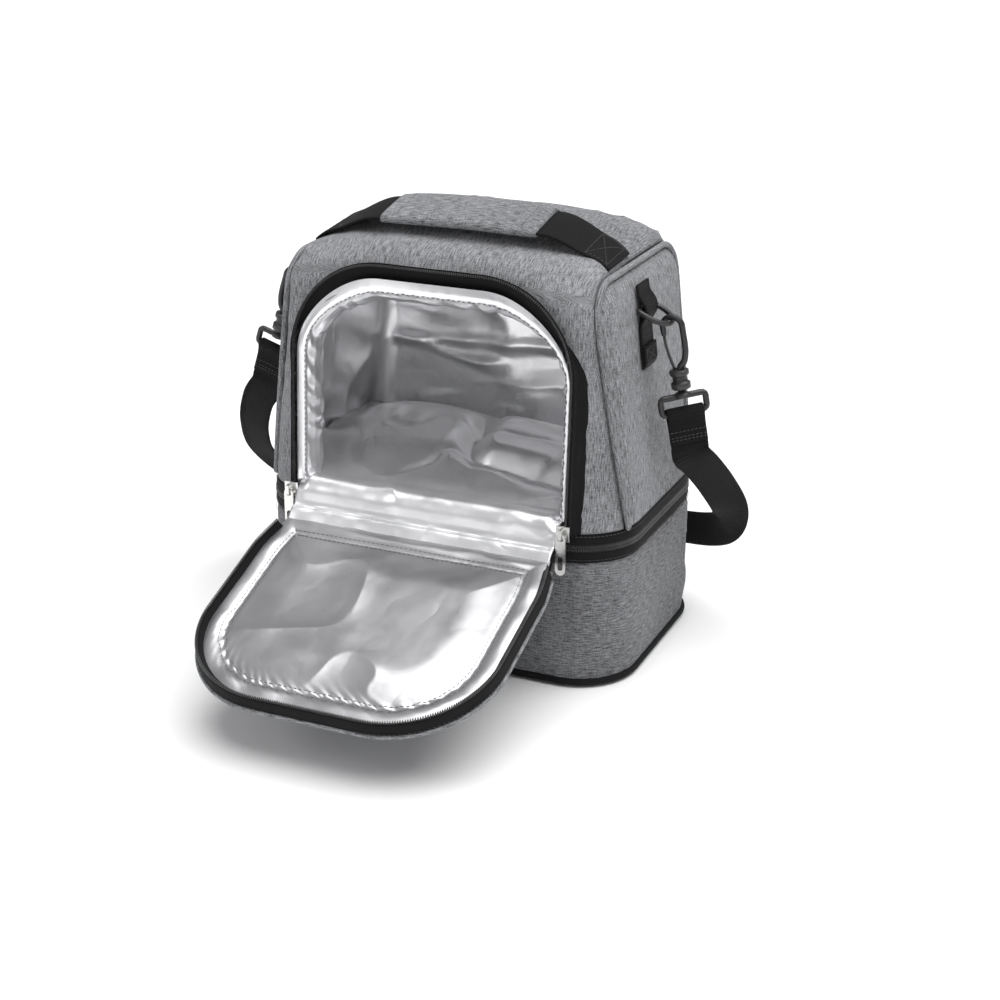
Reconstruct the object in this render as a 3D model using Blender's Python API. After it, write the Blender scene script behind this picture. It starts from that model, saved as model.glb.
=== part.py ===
"""Insulated two-compartment cooler bag, standing open: millimetres inside, metres in Blender, +Z up, front is -Y."""

import math

import bmesh
import bpy
import numpy as np
from mathutils import Matrix, Vector

MM = 0.001

# Driving sizes, in mm
WIDTH = 265.0
DEPTH = 170.0
RIM_HEIGHT = 271.0  # top edge at the side piping
CROWN = 8.0  # how much higher the middle of the top is
RING_Z = 98.0  # split between the two compartments
TOP_HALF_WIDTH = 113.0
FRONT_LEAN = 4.0  # degrees
EDGE_RADIUS = 30.0  # top front and top back roundings
LOW_CORNER = 40.0  # plan corner radius up to the ring zip
TOP_CORNER = 25.0
FABRIC = 1.2
FOAM = 5.0
LINER = 0.8
GAP = 0.3
BAND = 10.0  # one zip tape's width
TAPE = 1.0
CHAIN = 2.3
PIPING = 2.0  # radius

# The D-shaped opening and its flap
DOOR_HALF = 98.0
DOOR_HEIGHT = 160.0
DOOR_CORNER = 62.0
DOOR_LIP = 6.0
FLARE = 15.0  # how much lower than at the sides the tape is sewn along the top
FLAP_DROP = 20.0  # degrees below horizontal at rest
FLAP_WALL = 8.0

# Carry pieces
WEBBING = 25.0
WEBBING_THICK = 1.6
HANDLE_WIDTH = 38.0
HANDLE_Y = -20.0
HANDLE_RISE = 11.0
GRIP_HALF = 55.0
TAB_Y = -10.0
TAB_LOW = 202.0
TAB_HIGH = 256.0

# Sizes worked out from those
HALF = WIDTH / 2
HINGE_HALF = DOOR_HALF - 2.0  # half the back hinge strip's length
BACK_Y = DEPTH / 2
LEAN = math.radians(FRONT_LEAN)
EDGE_Z = RIM_HEIGHT - EDGE_RADIUS
WALL_Z = RING_Z + BAND  # where the upper panels begin
FRONT_FOOT_Y = -DEPTH / 2 - 0.5
FRONT_EDGE_Y = FRONT_FOOT_Y + (EDGE_Z - WALL_Z) * math.tan(LEAN) + EDGE_RADIUS
BACK_EDGE_Y = BACK_Y - EDGE_RADIUS
SKIN = FABRIC + GAP
CORE = SKIN + FOAM
LINER_IN = CORE + GAP + 0.6
HINGE = Vector((0.0, FRONT_FOOT_Y - 14.0, RING_Z + 4.0))
DOOR_Z = WALL_Z - 1.0  # bottom of the D outline on the front face

MATERIALS = {
    "grey_fabric": ((0.23, 0.23, 0.24), 0.9, 0.0),
    "black_webbing": ((0.02, 0.02, 0.022), 0.85, 0.0),
    "black_tape": ((0.015, 0.015, 0.016), 0.9, 0.0),
    "black_plastic": ((0.02, 0.02, 0.02), 0.45, 0.0),
    "nylon_chain": ((0.025, 0.025, 0.027), 0.5, 0.0),
    "silver_liner": ((0.62, 0.63, 0.65), 0.3, 0.6),
    "white_foam": ((0.85, 0.85, 0.83), 0.9, 0.0),
    "zinc": ((0.6, 0.6, 0.58), 0.3, 1.0),
}


def material(name):
    """One Principled material, made the first time that it is asked for."""
    found = bpy.data.materials.get(name)
    if found:
        return found
    colour, roughness, metallic = MATERIALS[name]
    found = bpy.data.materials.new(name)
    found.use_nodes = True
    shader = found.node_tree.nodes["Principled BSDF"]
    shader.inputs["Base Color"].default_value = (*colour, 1.0)
    shader.inputs["Roughness"].default_value = roughness
    shader.inputs["Metallic"].default_value = metallic
    return found


def solid(name, points, faces, look, origin=(0.0, 0.0, 0.0)):
    """A mesh object from points in mm; its origin is where the piece turns."""
    mesh = bpy.data.meshes.new(name)
    moved = (np.asarray(points, float).reshape(-1, 3) - np.asarray(origin, float)) * MM
    mesh.from_pydata(moved.tolist(), [], [list(map(int, face)) for face in faces])
    shape = bmesh.new()
    shape.from_mesh(mesh)
    bmesh.ops.recalc_face_normals(shape, faces=shape.faces)
    if shape.calc_volume(signed=True) < 0:
        bmesh.ops.reverse_faces(shape, faces=shape.faces)
    shape.to_mesh(mesh)
    shape.free()
    mesh.materials.append(material(look))
    made = bpy.data.objects.new(name, mesh)
    made.location = Vector(origin) * MM
    bpy.context.scene.collection.objects.link(made)
    return made


def boolean(target, cutter, operation="DIFFERENCE"):
    step = target.modifiers.new(operation.lower(), "BOOLEAN")
    step.operation = operation
    step.solver = "EXACT"
    step.object = cutter
    cutter.hide_render = True
    cutter.display_type = "WIRE"


def grid_faces(rows, cols, start=0, wrap=False):
    """Quads of a grid of points, joined round its columns when wrap is set."""
    across = cols if wrap else cols - 1
    return [
        (
            start + i * cols + j,
            start + i * cols + (j + 1) % cols,
            start + (i + 1) * cols + (j + 1) % cols,
            start + (i + 1) * cols + j,
        )
        for i in range(rows - 1)
        for j in range(across)
    ]


def skin(name, outer, inner, look, wrap=False, origin=(0.0, 0.0, 0.0)):
    """A closed wall between two grids of the same shape."""
    rows, cols = outer.shape[:2]
    count = rows * cols
    faces = grid_faces(rows, cols, 0, wrap) + grid_faces(rows, cols, count, wrap)
    edges = [(j, (j + 1) % cols) for j in range(cols if wrap else cols - 1)]
    for i in (0, rows - 1):
        for a, b in edges:
            faces.append((i * cols + a, i * cols + b, count + i * cols + b, count + i * cols + a))
    if not wrap:
        for j in (0, cols - 1):
            for i in range(rows - 1):
                a = i * cols + j
                b = (i + 1) * cols + j
                faces.append((a, b, count + b, count + a))
    return solid(name, np.concatenate([outer.reshape(-1, 3), inner.reshape(-1, 3)]), faces, look, origin)


def sweep(name, path, section, look, across, closed=False, origin=(0.0, 0.0, 0.0)):
    """A closed body of one section along a path. Section x runs along `across`, y along tangent x across."""
    path = np.asarray(path, float)
    across = np.broadcast_to(np.asarray(across, float), path.shape)
    if closed:
        tangent = np.roll(path, -1, 0) - np.roll(path, 1, 0)
    else:
        tangent = np.gradient(path, axis=0)
    tangent /= np.linalg.norm(tangent, axis=1, keepdims=True)
    side = across - (across * tangent).sum(1, keepdims=True) * tangent
    side /= np.linalg.norm(side, axis=1, keepdims=True)
    up = np.cross(tangent, side)
    section = np.asarray(section, float)
    rings = path[:, None] + side[:, None] * section[None, :, :1] + up[:, None] * section[None, :, 1:]
    count, sides = rings.shape[:2]
    if closed:
        rings = np.concatenate([rings, rings[:1]])
        faces = []
        for i in range(count):
            for j in range(sides):
                k = (j + 1) % sides
                n = (i + 1) % count
                faces.append((i * sides + j, i * sides + k, n * sides + k, n * sides + j))
        return solid(name, rings[:count], faces, look, origin)
    faces = grid_faces(count, sides, 0, True)
    faces.append(tuple(range(sides)))
    faces.append(tuple((count - 1) * sides + j for j in range(sides)))
    return solid(name, rings, faces, look, origin)


def circle(radius, sides=8):
    angle = np.linspace(0, 2 * math.pi, sides, endpoint=False) + math.pi / sides
    return np.stack([radius * np.cos(angle), radius * np.sin(angle)], 1)


def rectangle(wide, high, centre=(0.0, 0.0)):
    x, y = wide / 2, high / 2
    return np.array([(-x, -y), (x, -y), (x, y), (-x, y)]) + np.asarray(centre)


def box(name, low, high, look, origin=(0.0, 0.0, 0.0)):
    (a, b, c), (d, e, f) = low, high
    points = [(x, y, z) for z in (c, f) for y in (b, e) for x in (a, d)]
    faces = [(0, 2, 3, 1), (4, 5, 7, 6), (0, 1, 5, 4), (2, 6, 7, 3), (0, 4, 6, 2), (1, 3, 7, 5)]
    return solid(name, points, faces, look, origin)


def join(name, pieces):
    """Boolean union of overlapping pieces, kept under the first one's object."""
    first = pieces[0]
    first.name = name
    for other in pieces[1:]:
        other.name = name + "_part"
        boolean(first, other, "UNION")
    return first


# ---------------------------------------------------------------- body surfaces


def half_width(z):
    upper = HALF + (TOP_HALF_WIDTH - HALF) * (z - RING_Z) / (RIM_HEIGHT - RING_Z)
    return np.where(z > RING_Z, upper, HALF - 1.5 * (RING_Z - z) / RING_Z)


def corner_radius(z):
    share = np.clip((z - WALL_Z) / (EDGE_Z + 18 - WALL_Z), 0, 1)
    return LOW_CORNER + (TOP_CORNER - LOW_CORNER) * share


def seam_turn(z):
    """Where round the plan corner the side seam runs: half way at the top, nearer the side at the foot."""
    share = np.clip((z - WALL_Z) / (EDGE_Z - WALL_Z), 0, 1)
    return np.radians(70.0 - 25.0 * share)


def profile(inset, foot=None, front_steps=7, edge_steps=5, top_steps=4, back_steps=4):
    """Side view of the upper bag from the front foot over the top to the back foot: place, normal, width, radius."""
    foot = WALL_Z if foot is None else foot
    turn = np.linspace(math.pi - LEAN, math.pi / 2, edge_steps + 1)
    fold = np.stack([np.cos(turn), np.sin(turn)], 1)
    front_edge = np.array([FRONT_EDGE_Y, EDGE_Z]) + EDGE_RADIUS * fold
    front_z = np.linspace(foot, front_edge[0, 1], front_steps + 1)[:-1]
    front_y = front_edge[0, 0] - (front_edge[0, 1] - front_z) * math.tan(LEAN)
    back_turn = np.linspace(math.pi / 2, 0, edge_steps + 1)
    back_fold = np.stack([np.cos(back_turn), np.sin(back_turn)], 1)
    back_edge = np.array([BACK_EDGE_Y, EDGE_Z]) + EDGE_RADIUS * back_fold
    top_y = np.linspace(FRONT_EDGE_Y, BACK_EDGE_Y, top_steps + 1)[1:-1]
    back_z = np.linspace(EDGE_Z, foot, back_steps + 1)[1:]
    place = np.concatenate(
        [
            np.stack([front_y, front_z], 1),
            front_edge,
            np.stack([top_y, np.full_like(top_y, RIM_HEIGHT)], 1),
            back_edge,
            np.stack([np.full_like(back_z, BACK_Y), back_z], 1),
        ]
    )
    normal = np.concatenate(
        [
            np.tile(fold[0], (front_steps, 1)),
            fold,
            np.tile([0.0, 1.0], (len(top_y), 1)),
            back_fold,
            np.tile([1.0, 0.0], (len(back_z), 1)),
        ]
    )
    width = half_width(place[:, 1]) - inset
    radius = corner_radius(place[:, 1]) - inset
    place = place - inset * normal
    place[:, 1] = np.maximum(place[:, 1], foot)
    return place, normal, width, radius


def rib(place, normal, width, radius, angle, side):
    """Points at one angle of the plan corner: 0 is where the corner begins on the front, 90 is on the side."""
    sine, cosine = np.sin(angle), np.cos(angle)
    flat = place - normal * (radius * (1 - cosine))[:, None]
    flat[:, 1] = np.maximum(flat[:, 1], place[[0, -1], 1].min())
    x = side * (width - radius * (1 - sine))
    return np.stack([x, flat[:, 0], flat[:, 1]], 1)


def band_grid(inset, rows=slice(None), trim=0.0, foot=None, flats=6, crown=True):
    """The strip from front over the top to the back, between the two side seams."""
    place, normal, width, radius = (part[rows] for part in profile(inset, foot))
    arc = seam_turn(place[:, 1])
    angles = [arc - trim / 30.0, arc * 0.62, arc * 0.31]
    left = [rib(place, normal, width, radius, angle, -1) for angle in angles]
    right = [rib(place, normal, width, radius, angle, 1) for angle in angles[::-1]]
    core = width - radius
    middle = []
    for share in np.linspace(-1, 1, flats + 1):
        middle.append(np.stack([core * share, place[:, 0], place[:, 1]], 1))
    grid = np.stack(left + middle + right, 1)
    if crown:
        lift = CROWN * (1 - (grid[..., 0] / width[:, None]) ** 2) * np.clip(normal[:, 1:], 0, 1) ** 2
        grid[..., 2] += lift
    return grid


def side_grid(inset, side, trim=0.0, foot=None):
    """A side panel: ribs that turn from the seam on to the flat, then shrink to the panel's middle line."""
    place, normal, width, radius = profile(inset, foot)
    arc = seam_turn(place[:, 1])
    rest = math.pi / 2 - arc
    angles = [arc + trim / 30.0, arc + 0.4 * rest, arc + 0.7 * rest, arc + rest]
    ribs = [rib(place, normal, width, radius, angle, side) for angle in angles]
    return np.stack(ribs, 1)


def side_solid(name, side, low, high, trim, look, foot=None):
    """One closed panel: rib grids outside and inside, each with its flat filled in."""
    parts = []
    faces = []
    start = 0
    bottoms = []
    for inset in (low, high):
        grid = side_grid(inset, side, trim, foot)
        rows, cols = grid.shape[:2]
        parts.append(grid.reshape(-1, 3))
        faces += grid_faces(rows, cols, start)
        edge = [start + i * cols + cols - 1 for i in range(rows)]
        half = rows // 2
        for i in range(half):
            a, b = edge[i], edge[i + 1]
            c, d = edge[rows - 2 - i], edge[rows - 1 - i]
            if i + 1 < rows - 2 - i:
                faces.append((a, b, c, d))
            elif i + 1 == rows - 2 - i:
                faces.append((a, b, d))
        bottoms.append((start, rows, cols))
        start += rows * cols
    (outer, rows, cols), (inner, _, _) = bottoms
    for i in range(rows - 1):
        a, b = i * cols, (i + 1) * cols
        faces.append((outer + a, outer + b, inner + b, inner + a))
    foot_ids = list(range(cols)) + [(rows - 1) * cols + j for j in range(cols)][::-1]
    for a, b in zip(foot_ids[:-1], foot_ids[1:]):
        faces.append((outer + a, outer + b, inner + b, inner + a))
    return solid(name, np.concatenate(parts), faces, look)


def block(name, inset, foot, look="white_foam"):
    """The full upper volume at one inset, closed: used for the liner."""
    band = band_grid(inset, foot=foot)
    rows, cols = band.shape[:2]
    points = [band.reshape(-1, 3)]
    faces = grid_faces(rows, cols)
    start = rows * cols
    foot_row = {}
    for side, first in ((-1, 0), (1, cols - 1)):
        grid = side_grid(inset, side, 0.0, foot)[:, 1:]
        count, wide = grid.shape[:2]
        points.append(grid.reshape(-1, 3))
        faces += grid_faces(count, wide, start)
        for i in range(count - 1):
            faces.append((i * cols + first, (i + 1) * cols + first, start + (i + 1) * wide, start + i * wide))
        edge = [start + i * wide + wide - 1 for i in range(count)]
        for i in range(count // 2):
            a, b, c, d = edge[i], edge[i + 1], edge[count - 2 - i], edge[count - 1 - i]
            if i + 1 < count - 2 - i:
                faces.append((a, b, c, d))
            elif i + 1 == count - 2 - i:
                faces.append((a, b, d))
        foot_row[side] = (
            [start + j for j in range(wide)],
            [start + (count - 1) * wide + j for j in range(wide)],
        )
        start += count * wide
    front = list(range(cols))
    back = [(rows - 1) * cols + j for j in range(cols)]
    loop = front + foot_row[1][0] + foot_row[1][1][::-1] + back[::-1] + foot_row[-1][1] + foot_row[-1][0][::-1]
    faces.append(tuple(loop))
    return solid(name, np.concatenate(points), faces, look)


# ---------------------------------------------------------------- lower outline


def outline(inset, z, arc_steps=6, flat_steps=4, side_steps=2):
    """Plan of the bag at one height, anticlockwise from the middle of the front, points at the same stations."""
    width = float(half_width(np.float64(z))) - inset
    front = FRONT_FOOT_Y + inset + 1.0 * max(0.0, RING_Z - z) / RING_Z
    back = BACK_Y - inset
    radius = LOW_CORNER - inset
    points = [(x, front) for x in np.linspace(0, width - radius, flat_steps + 1)[:-1]]
    for cx, cy, start in ((1, 0, -90), (1, 1, 0), (-1, 1, 90), (-1, 0, 180)):
        centre = np.array([cx * (width - radius), back - radius if cy else front + radius])
        for angle in np.radians(np.linspace(start, start + 90, arc_steps + 1)):
            points.append(tuple(centre + radius * np.array([math.cos(angle), math.sin(angle)])))
        if start == -90:
            for y in np.linspace(front + radius, back - radius, side_steps + 1)[1:-1]:
                points.append((width, y))
        if start == 0:
            for x in np.linspace(width - radius, -(width - radius), 2 * flat_steps + 1)[1:-1]:
                points.append((x, back))
        if start == 90:
            for y in np.linspace(back - radius, front + radius, side_steps + 1)[1:-1]:
                points.append((-width, y))
        if start == 180:
            for x in np.linspace(-(width - radius), 0, flat_steps + 1)[1:-1]:
                points.append((x, front))
    return np.array([(x, y, z) for x, y in points])


def along(path, start, end):
    """The piece of a closed outline between two lengths from its first point, with ends cut exactly there."""
    closed = np.concatenate([path, path[:1]])
    length = np.concatenate([[0], np.cumsum(np.linalg.norm(np.diff(closed[:, :2], axis=0), axis=1))])
    total = length[-1]
    stations = [start] + [s for s in np.concatenate([length[:-1], length + total]) if start + 1.5 < s < end - 1.5] + [end]
    return np.stack([np.interp(np.array(stations) % total, length, closed[:, k]) for k in range(3)], 1), stations


def wall(name, low_z, high_z, outer_inset, inner_inset, look, span=None, levels=2):
    """A vertical wall of the plan outline, all round or between two lengths from the front's middle."""
    grids = []
    base = outline(outer_inset, RING_Z)
    for inset in (outer_inset, inner_inset):
        rows = []
        for z in np.linspace(low_z, high_z, levels):
            ring = outline(inset, z)
            if span:
                fraction = np.array(along(base, *span)[1])
                closed = np.concatenate([base, base[:1]])
                length = np.concatenate([[0], np.cumsum(np.linalg.norm(np.diff(closed[:, :2], axis=0), axis=1))])
                own = np.concatenate([ring, ring[:1]])
                ring = np.stack([np.interp(fraction % length[-1], length, own[:, k]) for k in range(3)], 1)
            rows.append(ring)
        grids.append(np.stack(rows))
    return skin(name, grids[0], grids[1], look, wrap=span is None)


def slab(name, inset, low_z, high_z, look):
    rings = [outline(inset, low_z), outline(inset, high_z)]
    count = len(rings[0])
    faces = grid_faces(2, count, 0, True)
    faces.append(tuple(range(count))[::-1])
    faces.append(tuple(range(count, 2 * count)))
    return solid(name, np.concatenate(rings), faces, look)


def outline_length():
    ring = outline(0.0, RING_Z)
    return float(np.linalg.norm(ring - np.roll(ring, -1, 0), axis=1).sum())


# ---------------------------------------------------------------- door outline


def door(offset=0.0, start=0.0, arc_steps=6, side_steps=4):
    """The D outline in its own plane, (x, height), from bottom left up over the top to bottom right."""
    half = DOOR_HALF + offset
    top = DOOR_HEIGHT + offset
    radius = DOOR_CORNER + offset
    points = [(-half, v) for v in np.linspace(start, top - radius, side_steps + 1)[:-1]]
    for angle in np.radians(np.linspace(180, 90, arc_steps + 1)):
        points.append((-half + radius + radius * math.cos(angle), top - radius + radius * math.sin(angle)))
    for x in np.linspace(-half + radius, half - radius, 4)[1:-1]:
        points.append((x, top))
    for angle in np.radians(np.linspace(90, 0, arc_steps + 1)):
        points.append((half - radius + radius * math.cos(angle), top - radius + radius * math.sin(angle)))
    points += [(half, v) for v in np.linspace(top - radius, start, side_steps + 1)[1:]]
    return np.array(points)


def hole(offset, start=0.0, flare=FLARE):
    """The D where the tape is sewn to the bag: outside the chain at the sides, below it along the top."""
    wide = door(offset, start)
    low = door(offset - flare, start)
    share = np.clip((wide[:, 1:] - 95.0) / 60.0, 0, 1)
    share = share * share * (3 - 2 * share)
    return wide * (1 - share) + low * share


def sink(plane):
    """How far the bag's surface lies behind the plane of its front face, at its rounded corners and top edge."""
    height = DOOR_Z + plane[:, 1] * math.cos(LEAN)
    width = half_width(height)
    radius = corner_radius(height)
    past = np.clip(np.abs(plane[:, 0]) - (width - radius), 0, radius * 0.95)
    corner = radius - np.sqrt(radius**2 - past**2)
    over = np.clip(height - EDGE_Z, 0, EDGE_RADIUS * 0.95)
    return corner + EDGE_RADIUS - np.sqrt(EDGE_RADIUS**2 - over**2)


def on_face(plane, out):
    """Door plane to the bag's front face: `out` is the height off the face, towards the front."""
    plane = np.asarray(plane, float)
    up = np.array([0.0, math.sin(LEAN), math.cos(LEAN)])
    away = np.array([0.0, -math.cos(LEAN), math.sin(LEAN)])
    foot = np.array([0.0, FRONT_FOOT_Y, DOOR_Z])
    lift = np.broadcast_to(np.asarray(out, float), plane[:, 1].shape)
    points = foot + plane[:, 1:] * up + lift[:, None] * away
    points[:, 0] = plane[:, 0]
    return points


def on_flap(plane, height):
    """Door plane to the open flap: `height` is above the flap's middle, towards its lining."""
    plane = np.asarray(plane, float)
    drop = math.radians(FLAP_DROP)
    out = np.array([0.0, -math.cos(drop), -math.sin(drop)])
    up = np.array([0.0, -math.sin(drop), math.cos(drop)])
    lift = np.broadcast_to(np.asarray(height, float), plane[:, 1].shape)
    points = np.array(HINGE) + (plane[:, 1:] + DOOR_Z - HINGE.z) * out + (lift[:, None] + FLAP_OFFSET) * up
    points[:, 0] = plane[:, 0]
    return points


FLAP_OFFSET = -4.0  # the flap's middle lies this far behind its hinge line
FLAP_START = 11.5


def strip(name, place, edges, thick, look, origin=(0.0, 0.0, 0.0)):
    """A band along the D between two edges, each an (outline, height) pair, `thick` measured off its surface."""
    outer = np.stack([place(points, height) for points, height in edges])
    normal = np.cross(np.gradient(outer, axis=1), np.broadcast_to(outer[1] - outer[0], outer.shape))
    normal /= np.linalg.norm(normal, axis=2, keepdims=True)
    return skin(name, outer, outer + thick * normal, look, origin=origin)


def prism(name, plane, place, low, high, look, origin=(0.0, 0.0, 0.0)):
    """The D filled in, between two heights."""
    lower = place(plane, low)
    upper = place(plane, high)
    count = len(plane)
    faces = grid_faces(2, count, 0, True)
    faces.append(tuple(range(count)))
    faces.append(tuple(range(count, 2 * count)))
    return solid(name, np.concatenate([lower, upper]), faces, look, origin)


# ---------------------------------------------------------------- sub-parts


def lower_compartment():
    total = outline_length()
    seam = 98.0
    wall("lower_front_panel", 4.6, RING_Z - BAND - GAP, 0.0, FABRIC, "grey_fabric", (total - seam, total + seam), 3)
    wall("lower_wrap_panel", 4.6, RING_Z - BAND - GAP, 0.0, FABRIC, "grey_fabric", (seam + GAP, total - seam - GAP), 3)
    wall("lower_foam_wall", 8.0, RING_Z - 2.5, SKIN, CORE, "white_foam", None, 2)
    slab("base_panel", 3.0, 0.0, 1.2, "grey_fabric")
    slab("base_foam", SKIN + 1.5, 1.5, 7.7, "white_foam")
    liner = slab("lower_liner", LINER_IN, 8.0, RING_Z - 3.0, "silver_liner")
    boolean(liner, slab("lower_liner_inside", LINER_IN + LINER, 8.0 + LINER, RING_Z + 5.0, "silver_liner"))
    ring = outline(0.9, 2.2)
    sweep("bottom_piping", ring, circle(PIPING), "grey_fabric", (0, 0, 1), closed=True)
    half = 0.5 * total - 100.0
    spans = (total - half, total + half)
    wall("ring_tape_lower", RING_Z - BAND, RING_Z - 2.0, -0.2, 0.9, "black_tape", spans)
    wall("ring_chain_lower", RING_Z - 1.7, RING_Z - 0.15, -1.0, 1.2, "nylon_chain", spans)
    wall("ring_chain_upper", RING_Z + 0.15, RING_Z + 1.7, -1.0, 1.2, "nylon_chain", spans)
    wall("ring_tape_upper", RING_Z + 2.0, RING_Z + BAND - GAP, -0.2, 0.9, "black_tape", spans)
    box("back_hinge_strip", (-HINGE_HALF, BACK_Y + 0.2, RING_Z - BAND), (HINGE_HALF, BACK_Y + 1.2, RING_Z + BAND), "black_tape")


def upper_compartment():
    opening = prism("door_cut_fabric", hole(6.0, -20.0), on_face, -24.0, 30.0, "white_foam")
    inner_opening = prism("door_cut_inner", hole(-4.0, 6.0), on_face, -24.0, 30.0, "white_foam")
    foam_opening = prism("door_cut_foam", hole(-1.8, 6.0), on_face, -24.0, 30.0, "white_foam")
    outer = band_grid(0.0, trim=2.9)
    inner = band_grid(FABRIC, trim=2.9)
    main = skin("main_panel", outer, inner, "grey_fabric")
    boolean(main, opening)
    for side, word in ((-1, "left"), (1, "right")):
        side_solid(f"{word}_side_panel", side, 0.0, FABRIC, 2.9, "grey_fabric")
        place, normal, width, radius = profile(-0.6)
        seam = rib(place, normal, width, radius, seam_turn(place[:, 1]), side)
        seam[[0, -1], 2] += PIPING
        sweep(f"{word}_piping", seam, circle(PIPING), "grey_fabric", (side, 0, 0.01))
        side_solid(f"{word}_foam", side, SKIN, CORE, 0.6, "white_foam")
    last_front = 10
    for name, rows, cut in (("front_foam", slice(0, last_front + 1), True), ("gusset_foam", slice(last_front, None), False)):
        grids = [band_grid(inset, rows, 1.8) for inset in (SKIN, CORE)]
        for grid in grids:
            for end, nearer in ((0, 1), (-1, -2)):
                step = grid[nearer] - grid[end]
                grid[end] += step * (GAP / np.linalg.norm(step, axis=1, keepdims=True))
        foam = skin(name, grids[0], grids[1], "white_foam")
        if cut:
            boolean(foam, foam_opening)
    liner = block("upper_liner", LINER_IN, WALL_Z + 0.6, "silver_liner")
    boolean(liner, block("upper_liner_inside", LINER_IN + LINER, WALL_Z + 0.6 + LINER, "silver_liner"))
    boolean(liner, inner_opening)
    slab("divider_foam", 3.0, RING_Z + 2.6, RING_Z + 2.6 + FOAM, "white_foam")
    slab("divider_cover", 1.6, RING_Z + 1.3, RING_Z + 2.3, "silver_liner")


def opening_trim():
    """The half zip that stands out round the opening, and the foil facing inside it."""
    foot = 1.5
    sewn = hole(4.6, foot)
    lip = door(1.4, foot)
    strip("door_tape_body", on_face, [(sewn, 1.2 - sink(sewn)), (lip, DOOR_LIP)], TAPE, "black_tape")
    strip("door_chain_body", on_face, [(lip, DOOR_LIP + 1.2), (lip, DOOR_LIP + 3.0)], CHAIN, "nylon_chain")
    low = 7.0
    edge = hole(-2.6, low, 4.6)
    deep = hole(-6.0, low)
    strip("opening_facing", on_face, [(deep, -2.3 - sink(deep)), (edge, DOOR_LIP - 1.8)], LINER, "silver_liner")
    half, low = DOOR_HALF - 10.0, RING_Z + 6.0
    box("flap_hinge_web", (-half, FRONT_FOOT_Y - 7.0, low), (half, FRONT_FOOT_Y - 1.0, low + BAND), "silver_liner")


def flap():
    """The padded flap lying open, built along its own plane."""
    start = FLAP_START
    turn = tuple(HINGE)
    low = -6.6
    high = FLAP_WALL - 3.4
    prism("flap_cover", door(2.4, start), on_flap, -7.0, -5.8, "grey_fabric", turn)
    prism("flap_foam", door(0.8, start + 0.6), on_flap, -5.5, -0.9, "white_foam", turn)
    prism("flap_liner", door(0.8, start + 0.6), on_flap, -0.6, 0.2, "silver_liner", turn)
    outer = door(3.9, start)
    strip("flap_tape", on_flap, [(outer, low), (outer, high)], TAPE, "black_tape", turn)
    strip("flap_chain", on_flap, [(outer, high + GAP), (outer, high + 2.2)], CHAIN, "nylon_chain", turn)


def pulls():
    """Two sliders on the opening's zip and two on the ring zip, each with its hanging pull tab."""
    for side, word in ((-1, "left"), (1, "right")):
        seat = on_face(np.array([(side * DOOR_HALF, 4.0)]), DOOR_LIP + 3.4)[0]
        slider_and_pull(f"door_{word}", seat, 9.2)
        slider_and_pull(f"ring_{word}", np.array([side * 14.0, FRONT_FOOT_Y - 1.4, RING_Z]), 7.4)


def slider_and_pull(word, centre, wide):
    """The slider sits just in front of the chain; its bridge holds the pull tab, which hangs straight down."""
    x, y, z = centre
    plate = box(f"{word}_slider", (x - wide / 2, y - 1.1, z - 5.0), (x + wide / 2, y, z + 5.0), "zinc", centre)
    bridge = sweep(
        f"{word}_bridge",
        [(x, y - 0.7, z + 3.6), (x, y - 5.4, z + 3.4), (x, y - 5.4, z - 2.0), (x, y - 0.7, z - 2.0)],
        rectangle(2.0, 1.2),
        "zinc",
        (1, 0, 0),
    )
    join(f"{word}_slider", [plate, bridge])
    flat_pull(f"{word}_pull", (x, y - 4.0, z - 2.0), 6.8, 28.0, 1.0)


def flat_pull(name, pivot, wide, long, thick):
    """A flat pull: a rounded plate hanging from its pivot, with an eye at the top and a window further down."""
    x, y, z = pivot
    plate = rounded_plate(name, (x, y, z - long / 2 + 3.0), wide, long, thick, wide / 2 - 0.2, pivot)
    eye = rounded_plate(name + "_eye", (x, y, z), wide - 3.0, 3.6, 5.0, 1.4, pivot)
    window = rounded_plate(name + "_window", (x, y, z - long + 11.0), wide - 3.2, 9.0, 5.0, 1.4, pivot)
    boolean(plate, eye)
    boolean(plate, window)
    return plate


def rounded_plate(name, centre, wide, long, thick, radius, origin):
    """A plate in the XZ plane with rounded corners."""
    x, y, z = centre
    points = []
    for cx, cz, start in ((1, -1, -90), (1, 1, 0), (-1, 1, 90), (-1, -1, 180)):
        for angle in np.radians(np.linspace(start, start + 90, 4)):
            across = x + cx * (wide / 2 - radius) + radius * math.cos(angle)
            points.append((across, z + cz * (long / 2 - radius) + radius * math.sin(angle)))
    count = len(points)
    both = [(a, y - thick / 2, b) for a, b in points] + [(a, y + thick / 2, b) for a, b in points]
    faces = grid_faces(2, count, 0, True)
    faces.append(tuple(range(count)))
    faces.append(tuple(range(count, 2 * count)))
    return solid(name, both, faces, "zinc", origin)


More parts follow.
